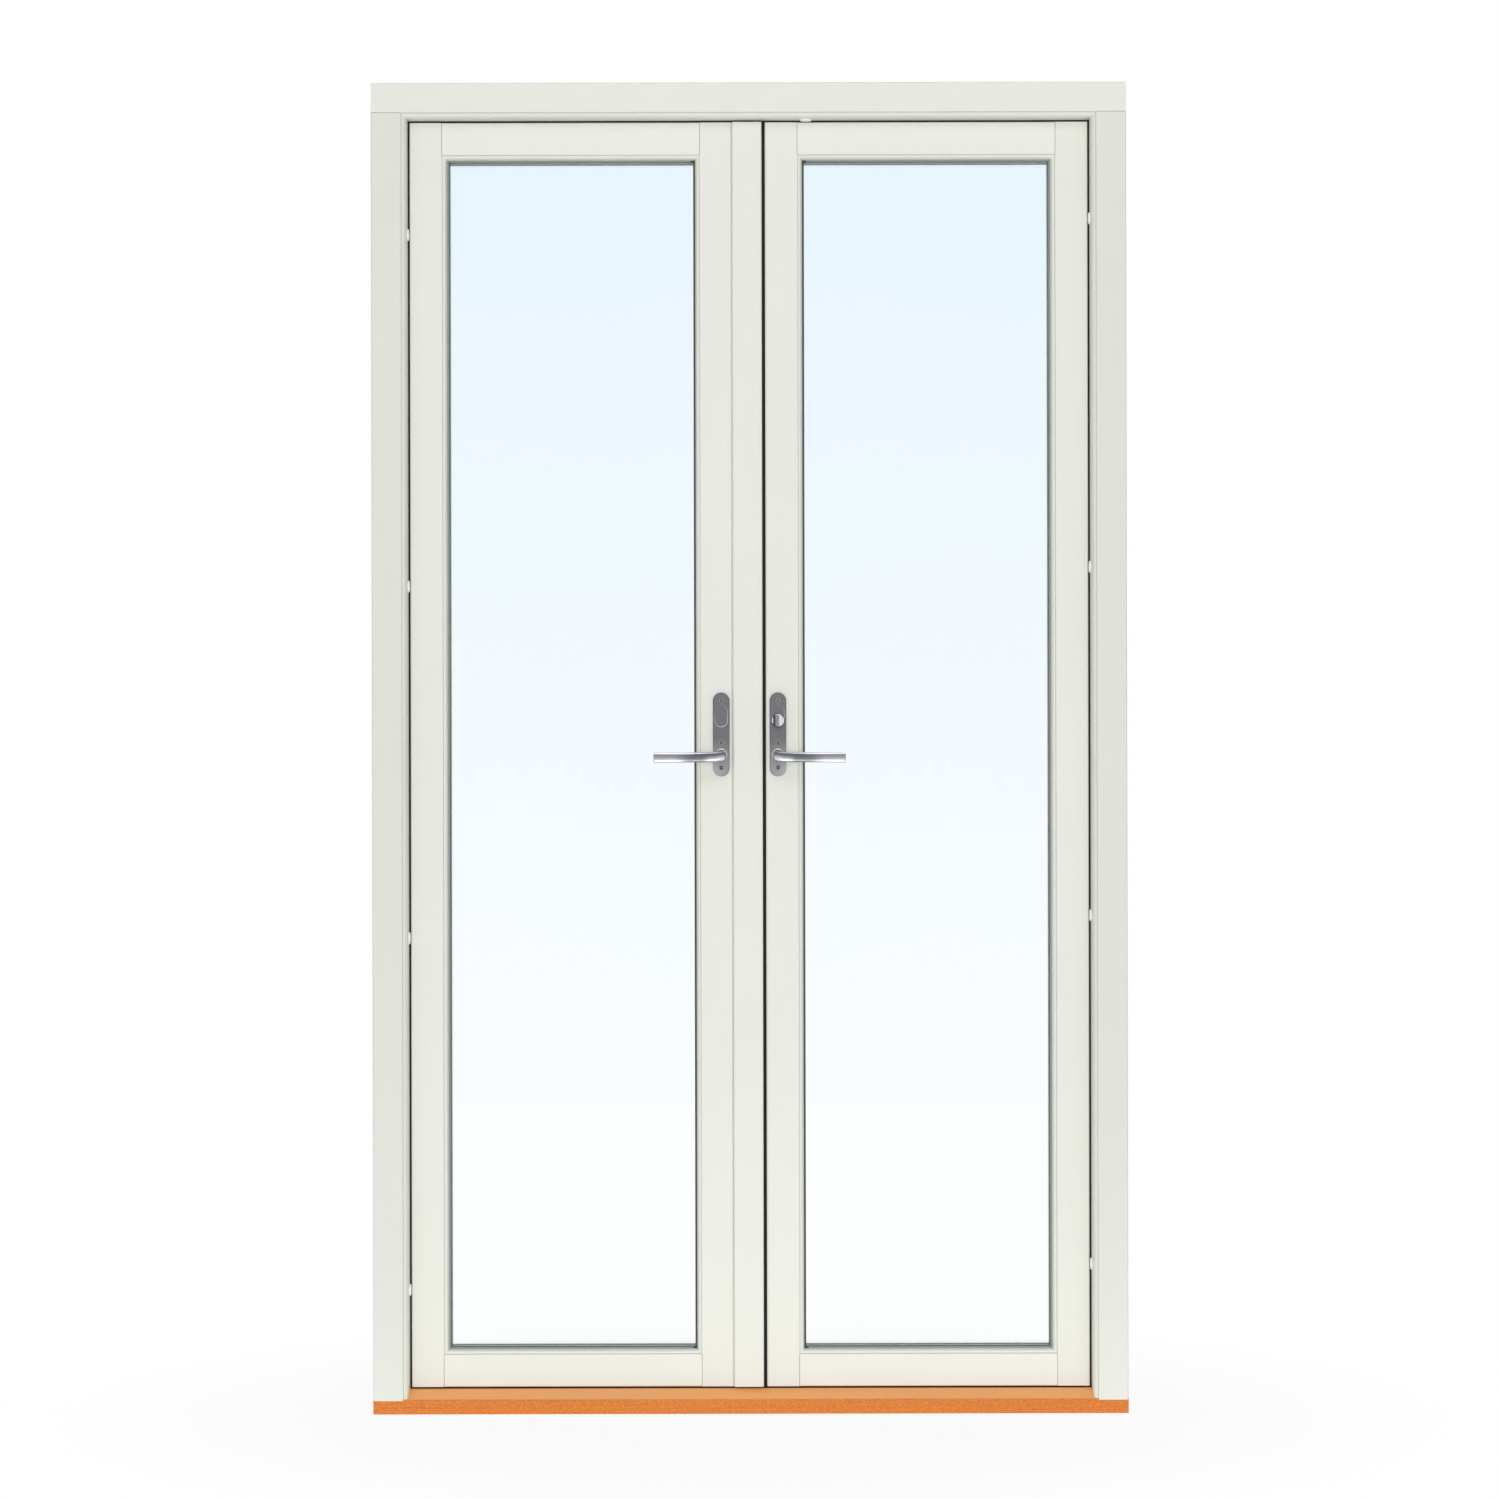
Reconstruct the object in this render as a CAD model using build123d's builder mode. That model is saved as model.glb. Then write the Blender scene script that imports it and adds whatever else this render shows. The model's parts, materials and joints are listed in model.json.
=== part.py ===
"""French doors: two glazed timber leaves that open outwards, in a frame with a hardwood threshold.

Lengths are in millimetres. +X is to the right as seen from the room, +Y is to the outside and +Z is
up. The origin is the middle of the threshold's underside. Side -1 is the left, passive leaf, which
carries the flying post, and side +1 is the right, active leaf, which carries the thumb-turn.
"""
import os
from math import acos, cos, pi, radians, sin, sqrt, tan

from build123d import *

os.makedirs("parts", exist_ok=True)

# Frame
frame_width = 1180.0
frame_height = 2080.0
frame_depth = 105.0
frame_flat = 46.5
frame_face = 55.0
frame_moulding = 11.0
frame_rebate = 14.5
rebate_depth = 36.0
quirk_width = 1.0
quirk_depth = 1.5
arris = 1.5
quarter_turn = 90.0
overrun = 5.0

room_face = -frame_depth / 2
outer_face = frame_depth / 2
stop_end = outer_face - rebate_depth
frame_stop = stop_end - room_face
half_width = frame_width / 2
opening_half = half_width - frame_face
opening_top = frame_height - frame_face
rebate_face = frame_face - frame_rebate

# Threshold
threshold_nose = 23.0
threshold_top = 35.0
threshold_floor = 20.5
threshold_edge = 12.0
threshold_round = 3.0

# Leaves
leaf_depth = 70.0
leaf_gap = 3.0
leaf_lip = 13.0
tongue_depth = 37.5
member_flat = 50.5
member_face = 58.0
member_moulding = 11.0
moulding_back = 14.0
pocket_wall = 42.0
meeting_half = 26.0
meeting_bevel = 3.0
passive_arris = 2.5

leaf_face = outer_face - leaf_depth
lip_start = leaf_face + tongue_depth
glazing_seat = leaf_face + moulding_back
leaf_edge = opening_half - leaf_gap
leaf_bottom = threshold_top + leaf_gap
leaf_top = opening_top - leaf_gap

# Flying post and the gap beside it
meeting_gap = 5.5
post_proud = 6.0
post_bevel = 1.0
post_round = 3.0
post_edge = meeting_half - meeting_gap

# Gaskets in the gaps, each with a leg in a kerf
seal_inset = 7.5
seal_width = 8.0
seal_proud = 2.4
meeting_seal_proud = 5.3
kerf_width = 3.0
kerf_depth = 4.0
fit_gap = 0.05

seal_centre = leaf_face + seal_inset

# Glass units
pane_edge = 46.0
pane_thickness = 4.0
pane_space = 14.0
spacer_edge = 61.1
inner_seal = 3.0
inner_seal_edge = 60.6
outer_seal = 2.0
outer_seal_edge = 57.0
bead_chamfer = 4.0
bead_joint = 0.2
block_length = 100.0
block_inset = 60.0

inner_glass = glazing_seat + inner_seal
pane_pitch = pane_thickness + pane_space
outer_glass = inner_glass + pane_pitch + pane_pitch + pane_thickness
bead_seat = outer_glass + outer_seal

# Holes of the frame fixings, through the jambs
fixing_inset = 11.5
fixing_spaces = 3
left_fixing_start = 192.0
left_fixing_end = 235.0
right_fixing_start = 231.0
right_fixing_end = 211.0
fixing_radius = 4.5

fixing_depth = leaf_face - fixing_inset

# Lift-off hinges in the gap at the lips, with their knuckles outside and many-sided pins
hinge_low = 230.0
hinge_top = 250.0
hinge_length = 90.0
hinge_out = 7.5
knuckle_radius = 7.0
knuckle_play = 0.3
flap_thickness = 2.0
flap_play = 0.5
flap_start_inset = 4.0
flap_end_inset = 0.1
pin_radius = 4.0
pin_length = 36.0
pin_play = 0.02
pin_sides = 16

lip_edge = leaf_edge + leaf_lip
hinge_x = lip_edge + flap_thickness + flap_play / 2
hinge_y = outer_face + hinge_out
hinge_high = frame_height - hinge_top
hinge_heights = (hinge_low, (hinge_low + hinge_high) / 2, hinge_high)
flap_start = lip_start + flap_start_inset
flap_end = outer_face - flap_end_inset

# Edge bolts: a pinion on the lever's spindle drives two rods apart
spindle_x = 44.5
spindle_z = 1029.0
gear_module = 1.5
gear_teeth = 12
pressure_angle = radians(20)
gear_backlash = 0.12
rack_addendum = 1.0
rack_dedendum = 1.5
pinion_addendum = 1.2
pinion_root = 7.5
pinion_width = 7.0
rack_teeth = range(-2, 5)
spindle_size = 7.0
socket_play = 0.1
rod_inner = 30.6
rod_thickness = 3.0
rod_width = 8.0
rod_inset = 21.5
rod_play = 0.3
rod_withdrawn = 1.0
far_bar = 3.0
jog_start = 1055.0
jog_height = 6.0
case_bottom = 998.0
case_top = 1092.0
case_back = 62.0
case_wall = 2.0
case_width = 14.0
case_slot = 0.8
faceplate_thickness = 2.5
faceplate_width = 18.0

pitch_radius = gear_module * gear_teeth / 2
rack_pitch = pi * gear_module
faceplate_back = rod_inner - rod_play
faceplate_front = faceplate_back - faceplate_thickness
rod_outer = rod_inner + rod_thickness
rod_centre = leaf_face + rod_inset
case_front = rod_centre - case_width / 2
rod_front = rod_centre - rod_width / 2

# Keeps for the bolts, let in flush
keep_length = 26.0
keep_width = 18.0
keep_thickness = 2.0
keep_clear = 1.0
keep_pocket = 16.0

# Handle plates
plate_width = 26.0
plate_bottom = 995.5
plate_top = 1127.0
plate_thickness = 5.0
plate_chamfer = 1.0
oval_width = 21.0
oval_height = 35.0
oval_centre = 1090.0
oval_rise = 0.7
spindle_hole = 10.6

plate_face = leaf_face - plate_thickness
plate_centre = (plate_bottom + plate_top) / 2

# Lever: a round neck out of the plate, a tight bend and an arm towards the hinges
lever_play = 0.4
collar_radius = 10.4
collar_height = 4.0
neck_half = 8.4
neck_height = 17.0
neck_length = 33.0
neck_corner = 8.0
bend_radius = 9.0
bend_squareness = 4.0
bend_steps = 4
arm_half = 5.8
arm_height = 15.8
arm_corner = 4.6
arm_drop = 3.0
arm_length = 105.5
arm_end_height = 16.6
arm_end_drop = 3.8
arm_end_break = 0.8
lever_socket = 22.0

# Thumb-turn on the active plate
turn_z = 1083.0
turn_radius = 10.0
turn_skirt = 3.0
turn_height = 15.0
turn_blade = 8.4
turn_scoop = 11.0
turn_shaft = 5.0
turn_hole = 7.4
turn_depth = 22.5


def save(label, built):
    """Writes one finished piece, or group of like pieces, under its own name."""
    built.part.label = label
    export_step(built.part, f"parts/{label}.step")


def outline(*points, rounds=(), radius=arris):
    """A closed straight-sided outline, with the corners listed in rounds rounded off."""
    with BuildSketch(Plane.XY) as drawn:
        with BuildLine():
            Polyline(*points, close=True)
        make_face()
        for corner in rounds:
            fillet(drawn.vertices().sort_by_distance(corner)[0], radius)
    return drawn.sketch


def moulded(front, flat, face, drop, edge_points, back_points, radius=arris):
    """A member's section: its outer edge, plain face, quirk and quarter-round, then its back."""
    round_start = (flat + quirk_width, front + quirk_depth)
    round_end = (face, front + drop)
    centre = (round_start[0], round_end[1])
    with BuildSketch(Plane.XY) as drawn:
        with BuildLine():
            Polyline(*edge_points, (flat, front), (flat, front + quirk_depth), round_start)
            EllipticalCenterArc(
                centre, face - round_start[0], drop - quirk_depth, -quarter_turn, arc_size=quarter_turn
            )
            Polyline(round_end, *back_points, edge_points[0])
        make_face()
        chamfer(drawn.vertices().sort_by_distance(edge_points[-1])[0], radius)
    return drawn.sketch


def front_plane(depth):
    """The plane of the front view at a depth, with X to the right, Z up and its normal to the room."""
    return Plane.XZ.offset(-depth)


def window(half_x, low, high, middle=0.0):
    """A rectangle of the front view, by its half width and its two heights."""
    return outline(
        (middle - half_x, low), (middle + half_x, low), (middle + half_x, high), (middle - half_x, high)
    )


def ring(outer, inner):
    """What lies between two rectangles, each given as left, right, low and high."""
    with BuildSketch(Plane.XY) as drawn:
        for (left, right, low, high), mode in ((outer, Mode.ADD), (inner, Mode.SUBTRACT)):
            with Locations(((left + right) / 2, (low + high) / 2)):
                Rectangle(right - left, high - low, mode=mode)
    return drawn.sketch


def kerf_ring(depth):
    """The kerf round the frame's opening, cut back by a depth from the walls."""
    return ring(
        (-opening_half - depth, opening_half + depth, threshold_top - depth, opening_top + depth),
        (-opening_half, opening_half, threshold_top, opening_top),
    )


frame_section = moulded(
    room_face,
    frame_flat,
    frame_face,
    frame_moulding,
    [(0, outer_face), (0, room_face)],
    [(frame_face, stop_end), (rebate_face, stop_end), (rebate_face, outer_face)],
)
threshold_section = outline(
    (room_face, 0),
    (room_face, threshold_nose),
    (leaf_face, threshold_top),
    (stop_end, threshold_top),
    (stop_end, threshold_floor),
    (outer_face, threshold_edge),
    (outer_face, 0),
    rounds=[(room_face, threshold_nose)],
    radius=threshold_round,
)
member_back = [(member_face, glazing_seat), (pocket_wall, glazing_seat), (pocket_wall, outer_face)]
lipped_section = moulded(
    leaf_face,
    member_flat,
    member_face,
    member_moulding,
    [(-leaf_lip, outer_face), (-leaf_lip, lip_start), (0, lip_start), (0, leaf_face)],
    member_back,
)
meeting_sections = {
    -1: moulded(
        leaf_face,
        member_flat,
        member_face,
        member_moulding,
        [(0, outer_face), (0, leaf_face)],
        member_back,
        passive_arris,
    ),
    1: moulded(
        leaf_face,
        member_flat,
        member_face,
        member_moulding,
        [(meeting_bevel, outer_face), (0, leaf_face)],
        member_back,
    ),
}


def corner(points, edge_x, edge_z, inward_x, inward_z):
    """An outline drawn from a corner of the front view, each point by how far it lies inwards."""
    return outline(*((edge_x + inward_x * a, edge_z + inward_z * b) for a, b in points))


def through_cut(flat, face):
    """What a member that runs through loses at a corner: its moulding beyond the mitre."""
    far = face + overrun
    return [(flat, -far), (far, -far), (far, far), (flat, flat)]


def butting_cut(flat, face):
    """What a member that stops at a corner loses there: its face up to the joint and the mitre."""
    far = face + overrun
    return [(-far, -far), (flat, -far), (flat, flat), (far, far), (-far, far)]


# Frame head, which runs over the jambs
with BuildPart() as frame_head:
    with BuildSketch(Plane((-half_width, 0, frame_height), (0, 0, -1), (1, 0, 0))):
        add(frame_section)
    extrude(amount=frame_width)
    with BuildSketch(front_plane(stop_end)):
        for side in (-1, 1):
            turned = [(b, a) for a, b in through_cut(frame_flat, frame_face)]
            add(corner(turned, side * half_width, frame_height, -side, -1))
    extrude(amount=frame_stop + overrun, mode=Mode.SUBTRACT)
    with BuildSketch(front_plane(seal_centre + kerf_width / 2)):
        add(kerf_ring(kerf_depth + fit_gap))
    extrude(amount=kerf_width, mode=Mode.SUBTRACT)
    with BuildSketch(Plane.XY.offset(opening_top)):
        for side in (-1, 1):
            with Locations((side * (rod_inner + rod_thickness / 2), rod_centre)):
                Rectangle(keep_length, keep_width)
    extrude(amount=keep_thickness, mode=Mode.SUBTRACT)
    with BuildSketch(Plane.XY.offset(opening_top)):
        for side in (-1, 1):
            with Locations((side * (rod_inner + rod_thickness / 2), rod_centre)):
                Rectangle(rod_thickness + keep_clear * 2, rod_width + keep_clear * 2)
    extrude(amount=keep_pocket, mode=Mode.SUBTRACT)
save("frame_head", frame_head)

# Threshold under both jambs, sloped to the room and to the outside
with BuildPart() as threshold:
    with BuildSketch(Plane.YZ.offset(-half_width)):
        add(threshold_section)
    extrude(amount=frame_width)
    with BuildSketch(front_plane(seal_centre + kerf_width / 2)):
        add(kerf_ring(kerf_depth + fit_gap))
    extrude(amount=kerf_width, mode=Mode.SUBTRACT)
    with BuildSketch(Plane.XY.offset(threshold_top)):
        for side in (-1, 1):
            with Locations((side * (rod_inner + rod_thickness / 2), rod_centre)):
                Rectangle(keep_length, keep_width)
    extrude(amount=-keep_thickness, mode=Mode.SUBTRACT)
    with BuildSketch(Plane.XY.offset(threshold_top)):
        for side in (-1, 1):
            with Locations((side * (rod_inner + rod_thickness / 2), rod_centre)):
                Rectangle(rod_thickness + keep_clear * 2, rod_width + keep_clear * 2)
    extrude(amount=-keep_pocket, mode=Mode.SUBTRACT)
save("threshold", threshold)


def build_jamb(label, side, lowest, highest):
    """One upright of the frame, scribed over the threshold and mitred to the head's moulding."""
    fixings = [lowest + (highest - lowest) * k / fixing_spaces for k in range(fixing_spaces + 1)]
    with BuildPart() as jamb:
        with BuildSketch(Plane((side * half_width, 0, 0), (-side, 0, 0), (0, 0, -side))):
            add(frame_section)
        extrude(amount=-side * (frame_height - rebate_face))
        with BuildSketch(front_plane(stop_end)):
            turned = [(b, a) for a, b in butting_cut(frame_flat, frame_face)]
            add(corner(turned, side * half_width, frame_height, -side, -1))
        extrude(amount=frame_stop + overrun, mode=Mode.SUBTRACT)
        with BuildSketch(Plane.YZ.offset(-half_width - overrun)):
            add(threshold_section)
        extrude(amount=frame_width + overrun * 2, mode=Mode.SUBTRACT)
        with BuildSketch(front_plane(seal_centre + kerf_width / 2)):
            add(kerf_ring(kerf_depth + fit_gap))
        extrude(amount=kerf_width, mode=Mode.SUBTRACT)
        with BuildSketch(Plane.YZ.offset(side * opening_half)):
            with Locations(*((fixing_depth, height) for height in fixings)):
                Circle(fixing_radius)
        extrude(amount=side * frame_face, mode=Mode.SUBTRACT)
    save(label, jamb)


build_jamb("left_jamb", -1, left_fixing_start, frame_height - left_fixing_end)
build_jamb("right_jamb", 1, right_fixing_start, frame_height - right_fixing_end)

# Black gasket round the opening
with BuildPart() as frame_gasket:
    with BuildSketch(front_plane(seal_centre + seal_width / 2)):
        add(
            ring(
                (-opening_half, opening_half, threshold_top, opening_top),
                (
                    seal_proud - opening_half,
                    opening_half - seal_proud,
                    threshold_top + seal_proud,
                    opening_top - seal_proud,
                ),
            )
        )
    extrude(amount=seal_width)
    with BuildSketch(front_plane(seal_centre + kerf_width / 2 - fit_gap)):
        add(kerf_ring(kerf_depth))
    extrude(amount=kerf_width - fit_gap * 2)
save("frame_gasket", frame_gasket)

# Keep plates for the bolts, two in the head and two in the threshold
with BuildPart() as bolt_keeps:
    for level in (threshold_top - keep_thickness, opening_top):
        with BuildSketch(Plane.XY.offset(level)):
            for side in (-1, 1):
                with Locations((side * (rod_inner + rod_thickness / 2), rod_centre)):
                    Rectangle(keep_length, keep_width)
                    Rectangle(
                        rod_thickness + keep_clear * 2, rod_width + keep_clear * 2, mode=Mode.SUBTRACT
                    )
        extrude(amount=keep_thickness)
save("bolt_keeps", bolt_keeps)


def flap_outline(wall, toward, end):
    """A hinge flap seen from above, from the wall that it lies on to its free face."""
    free = wall + toward * flap_thickness
    return outline((wall, flap_start), (wall, end), (free, end), (free, flap_start))


def build_frame_hinges(label, side):
    """The frame's hinge halves: a flap on the rebate wall, the lower knuckle and the pin."""
    wall = side * (half_width - rebate_face)
    with BuildPart() as halves:
        for height in hinge_heights:
            low = height - hinge_length / 2
            with BuildSketch(Plane.XY.offset(low)):
                with Locations((side * hinge_x, hinge_y)):
                    Circle(knuckle_radius)
                add(flap_outline(wall, -side, hinge_y))
            extrude(amount=(hinge_length - knuckle_play) / 2)
            with BuildSketch(Plane.XY.offset(low)):
                add(flap_outline(wall, -side, flap_end))
            extrude(amount=hinge_length)
            with BuildSketch(Plane.XY.offset(height - knuckle_play)):
                with Locations((side * hinge_x, hinge_y)):
                    RegularPolygon(pin_radius, pin_sides)
            extrude(amount=pin_length + knuckle_play)
    save(label, halves)


def build_leaf_hinges(label, side):
    """The leaf's hinge halves: a flap on the lip's edge and the upper knuckle, bored for the pin."""
    wall = side * lip_edge
    with BuildPart() as halves:
        for height in hinge_heights:
            low = height - hinge_length / 2
            with BuildSketch(Plane.XY.offset(height + knuckle_play / 2)):
                with Locations((side * hinge_x, hinge_y)):
                    Circle(knuckle_radius)
                add(flap_outline(wall, side, hinge_y))
            extrude(amount=(hinge_length - knuckle_play) / 2)
            with BuildSketch(Plane.XY.offset(low)):
                add(flap_outline(wall, side, flap_end))
            extrude(amount=hinge_length)
            with BuildSketch(Plane.XY.offset(height)):
                with Locations((side * hinge_x, hinge_y)):
                    RegularPolygon(pin_radius + pin_play, pin_sides, major_radius=False)
            extrude(amount=pin_length + knuckle_play, mode=Mode.SUBTRACT)
    save(label, halves)


build_frame_hinges("left_frame_hinges", -1)
build_frame_hinges("right_frame_hinges", 1)


def leaf_box(side, inset):
    """A leaf's front outline, moved in from its edges: left, right, low and high."""
    outer, inner = side * (leaf_edge - inset), side * (meeting_half + inset)
    return min(outer, inner), max(outer, inner), leaf_bottom + inset, leaf_top - inset


def end_rebates():
    """What the uprights of a leaf lose above and below the tongue, in front of the lip."""
    low, high = leaf_bottom - leaf_lip - overrun, leaf_top + leaf_lip + overrun
    return window(half_width, low, leaf_bottom), window(half_width, leaf_top, high)


def upright_mitres(edge_x, inward):
    """What an upright of a leaf loses at its two mitres."""
    cut = through_cut(member_flat, member_face)
    return corner(cut, edge_x, leaf_bottom, inward, 1), corner(cut, edge_x, leaf_top, inward, -1)


def build_hinge_stile(label, side):
    """The upright that carries the hinges, full height, with a lip outside."""
    with BuildPart() as stile:
        with BuildSketch(Plane((side * leaf_edge, 0, leaf_bottom - leaf_lip), (-side, 0, 0), (0, 0, -side))):
            add(lipped_section)
        extrude(amount=-side * (leaf_top - leaf_bottom + leaf_lip * 2))
        with BuildSketch(front_plane(lip_start)):
            add(end_rebates())
        extrude(amount=tongue_depth + overrun, mode=Mode.SUBTRACT)
        with BuildSketch(front_plane(glazing_seat)):
            add(upright_mitres(side * leaf_edge, -side))
        extrude(amount=moulding_back + overrun, mode=Mode.SUBTRACT)
    save(label, stile)


def build_meeting_stile(label, side):
    """The upright that carries the handle, grooved in its edge for the rods of the edge bolt."""
    height = leaf_top - leaf_bottom + leaf_lip * 2
    with BuildPart() as stile:
        with BuildSketch(Plane((side * meeting_half, 0, leaf_bottom - leaf_lip), (side, 0, 0), (0, 0, side))):
            add(meeting_sections[side])
        extrude(amount=side * height)
        with BuildSketch(front_plane(lip_start)):
            add(end_rebates())
        extrude(amount=tongue_depth + overrun, mode=Mode.SUBTRACT)
        with BuildSketch(front_plane(glazing_seat)):
            add(upright_mitres(side * meeting_half, side))
        extrude(amount=moulding_back + overrun, mode=Mode.SUBTRACT)
        with BuildSketch(Plane.XY.offset(leaf_bottom - leaf_lip)):
            with Locations((side * (faceplate_back + meeting_half - overrun) / 2, rod_centre)):
                Rectangle(faceplate_back - meeting_half + overrun, faceplate_width)
            with Locations((side * (faceplate_back + rod_outer + rod_play) / 2, rod_centre)):
                Rectangle(rod_outer + rod_play - faceplate_back, rod_width + rod_play * 2)
        extrude(amount=height, mode=Mode.SUBTRACT)
        with BuildSketch(Plane.XY.offset(case_bottom)):
            with Locations((side * (faceplate_back + case_back) / 2, rod_centre)):
                Rectangle(case_back - faceplate_back, case_width)
        extrude(amount=case_top - case_bottom, mode=Mode.SUBTRACT)
        with BuildSketch(front_plane(case_front)):
            with Locations((side * spindle_x, spindle_z)):
                Rectangle(spindle_hole, spindle_hole)
            if side > 0:
                with Locations((side * spindle_x, turn_z)):
                    Rectangle(turn_hole, turn_hole)
        extrude(amount=case_front - leaf_face, mode=Mode.SUBTRACT)
    save(label, stile)


def build_rail(label, side, top):
    """A rail between the uprights, with its moulding mitred into theirs and a lip outside."""
    left, right, low, high = leaf_box(side, 0)
    ends = butting_cut(member_flat, member_face)
    level, inward = (high, -1) if top else (low, 1)
    start = left + pocket_wall if top else right - pocket_wall
    with BuildPart() as rail:
        with BuildSketch(Plane((start, 0, level), (0, 0, inward), (-inward, 0, 0))):
            add(lipped_section)
        extrude(amount=right - left - pocket_wall * 2)
        with BuildSketch(front_plane(glazing_seat)):
            add(corner(ends, left, level, 1, inward))
            add(corner(ends, right, level, -1, inward))
        extrude(amount=moulding_back + overrun, mode=Mode.SUBTRACT)
    save(label, rail)


def build_pane(label, side, number):
    """One sheet of the glass unit, counted from the room."""
    with BuildPart() as pane:
        left, right, low, high = leaf_box(side, pane_edge)
        with BuildSketch(front_plane(inner_glass + pane_pitch * number + pane_thickness)):
            add(window((right - left) / 2, low, high, (left + right) / 2))
        extrude(amount=pane_thickness)
    save(label, pane)


def build_spacers(label, side):
    """The two spacer bars with their seal, bent to a closed frame between the sheets."""
    with BuildPart() as spacers:
        for number in (1, 2):
            with BuildSketch(front_plane(inner_glass + pane_pitch * number)):
                add(ring(leaf_box(side, pane_edge), leaf_box(side, spacer_edge)))
            extrude(amount=pane_space)
    save(label, spacers)


def build_glazing_gaskets(label, side):
    """The gasket behind the moulding, which shows as a line round the glass, and the outer tape."""
    with BuildPart() as gaskets:
        with BuildSketch(front_plane(inner_glass)):
            add(ring(leaf_box(side, pane_edge), leaf_box(side, inner_seal_edge)))
        extrude(amount=inner_seal)
        with BuildSketch(front_plane(bead_seat)):
            add(ring(leaf_box(side, pane_edge), leaf_box(side, outer_seal_edge)))
        extrude(amount=outer_seal)
    save(label, gaskets)


bead_width = member_face - pocket_wall
bead_section = outline(
    (0, bead_seat),
    (0, outer_face),
    (bead_width - bead_chamfer, outer_face),
    (bead_width, outer_face - bead_chamfer),
    (bead_width, bead_seat),
)


def bead(plane, length):
    """One glazing bead along the plane's normal, with its two ends mitred."""
    ends = [
        (bead_joint, 0),
        (length - bead_joint, 0),
        (length - bead_joint - bead_width, bead_width),
        (bead_joint + bead_width, bead_width),
    ]
    with BuildPart() as strip:
        with BuildSketch(plane):
            add(bead_section)
        extrude(amount=length)
        with BuildSketch(Plane(plane.origin, plane.z_dir, -plane.y_dir).offset(-outer_face - overrun)):
            add(outline(*((along, -inwards) for along, inwards in ends)))
        extrude(amount=frame_depth, both=True, mode=Mode.INTERSECT)
    return strip.part


def build_beads(label, side):
    """The four outer glazing beads of a leaf, mitred at the corners."""
    left, right, low, high = leaf_box(side, pocket_wall)
    with BuildPart() as beads:
        add(bead(Plane((left, 0, low), (1, 0, 0), (0, 0, 1)), high - low))
        add(bead(Plane((left, 0, high), (0, 0, -1), (1, 0, 0)), right - left))
        add(bead(Plane((right, 0, high), (-1, 0, 0), (0, 0, -1)), high - low))
        add(bead(Plane((right, 0, low), (0, 0, 1), (-1, 0, 0)), right - left))
    save(label, beads)


def build_setting_blocks(label, side):
    """Two plastic blocks that the glass unit stands on in the bottom rail."""
    left, right, low, high = leaf_box(side, pane_edge)
    with BuildPart() as blocks:
        with BuildSketch(Plane.XY.offset(leaf_bottom + pocket_wall)):
            for middle in (left + block_inset, right - block_inset):
                with Locations((middle, (inner_glass + outer_glass) / 2)):
                    Rectangle(block_length, outer_glass - inner_glass)
        extrude(amount=pane_edge - pocket_wall)
    save(label, blocks)


def gear_outline(side):
    """The pinion seen from the room: each flank runs from its root to the base circle and the tip."""
    base = pitch_radius * cos(pressure_angle)
    tip = pitch_radius + pinion_addendum
    half_tooth = (rack_pitch / 4 - gear_backlash) / pitch_radius + tan(pressure_angle) - pressure_angle
    unwound = sqrt((tip / base) ** 2 - 1) - acos(base / tip)
    flank = [(pinion_root, half_tooth), (base, half_tooth), (tip, half_tooth - unwound)]
    points = []
    for tooth in range(gear_teeth):
        middle = tooth * pi * 2 / gear_teeth
        edges = [(r, middle - a) for r, a in flank] + [(r, middle + a) for r, a in reversed(flank)]
        points += [(side * spindle_x + r * cos(a), spindle_z + r * sin(a)) for r, a in edges]
    return outline(*points)


def rack_points(side, line_x, toward, direction):
    """The toothed face of a rack, from one end to the other, with a gap at the pinion's height."""
    half = rack_pitch / 4 - gear_backlash
    slope = tan(pressure_angle)
    root, tip = line_x - toward * rack_dedendum, line_x + toward * rack_addendum
    wide, narrow = half + rack_dedendum * slope, half - rack_addendum * slope
    points = []
    for tooth in rack_teeth:
        middle = tooth * rack_pitch + rack_pitch / 2
        for x, z in ((root, middle - wide), (tip, middle - narrow), (tip, middle + narrow), (root, middle + wide)):
            points.append((side * x, spindle_z + direction * z))
    return points


def build_lower_rod(label, side):
    """The lower bolt rod, with its rack on the pinion's near side, in one flat bar."""
    teeth = rack_points(side, spindle_x - pitch_radius, 1, 1)
    shoulder = teeth[0][0]
    rack_low, rack_high = teeth[0][1] - rack_dedendum, teeth[-1][1]
    with BuildPart() as rod:
        with BuildSketch(front_plane(rod_front + rod_width)):
            add(
                outline(
                    (side * rod_inner, leaf_bottom + rod_withdrawn),
                    (side * rod_outer, leaf_bottom + rod_withdrawn),
                    (side * rod_outer, rack_low),
                    (shoulder, rack_low),
                    *teeth,
                    (side * rod_inner, rack_high),
                )
            )
        extrude(amount=rod_width)
    save(label, rod)


def build_upper_rod(label, side):
    """The upper bolt rod: its rack is on the pinion's far side and its bar crosses over the pinion."""
    teeth = rack_points(side, spindle_x + pitch_radius, -1, -1)
    back = teeth[0][0] + side * far_bar
    rack_low = teeth[-1][1]
    with BuildPart() as rod:
        with BuildSketch(front_plane(rod_front + rod_width)):
            add(
                outline(
                    (back, rack_low),
                    (back, jog_start + jog_height),
                    (side * rod_outer, jog_start + jog_height),
                    (side * rod_outer, leaf_top - rod_withdrawn),
                    (side * rod_inner, leaf_top - rod_withdrawn),
                    (side * rod_inner, jog_start),
                    (teeth[0][0], jog_start),
                    *teeth,
                )
            )
        extrude(amount=rod_width)
    save(label, rod)


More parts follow.
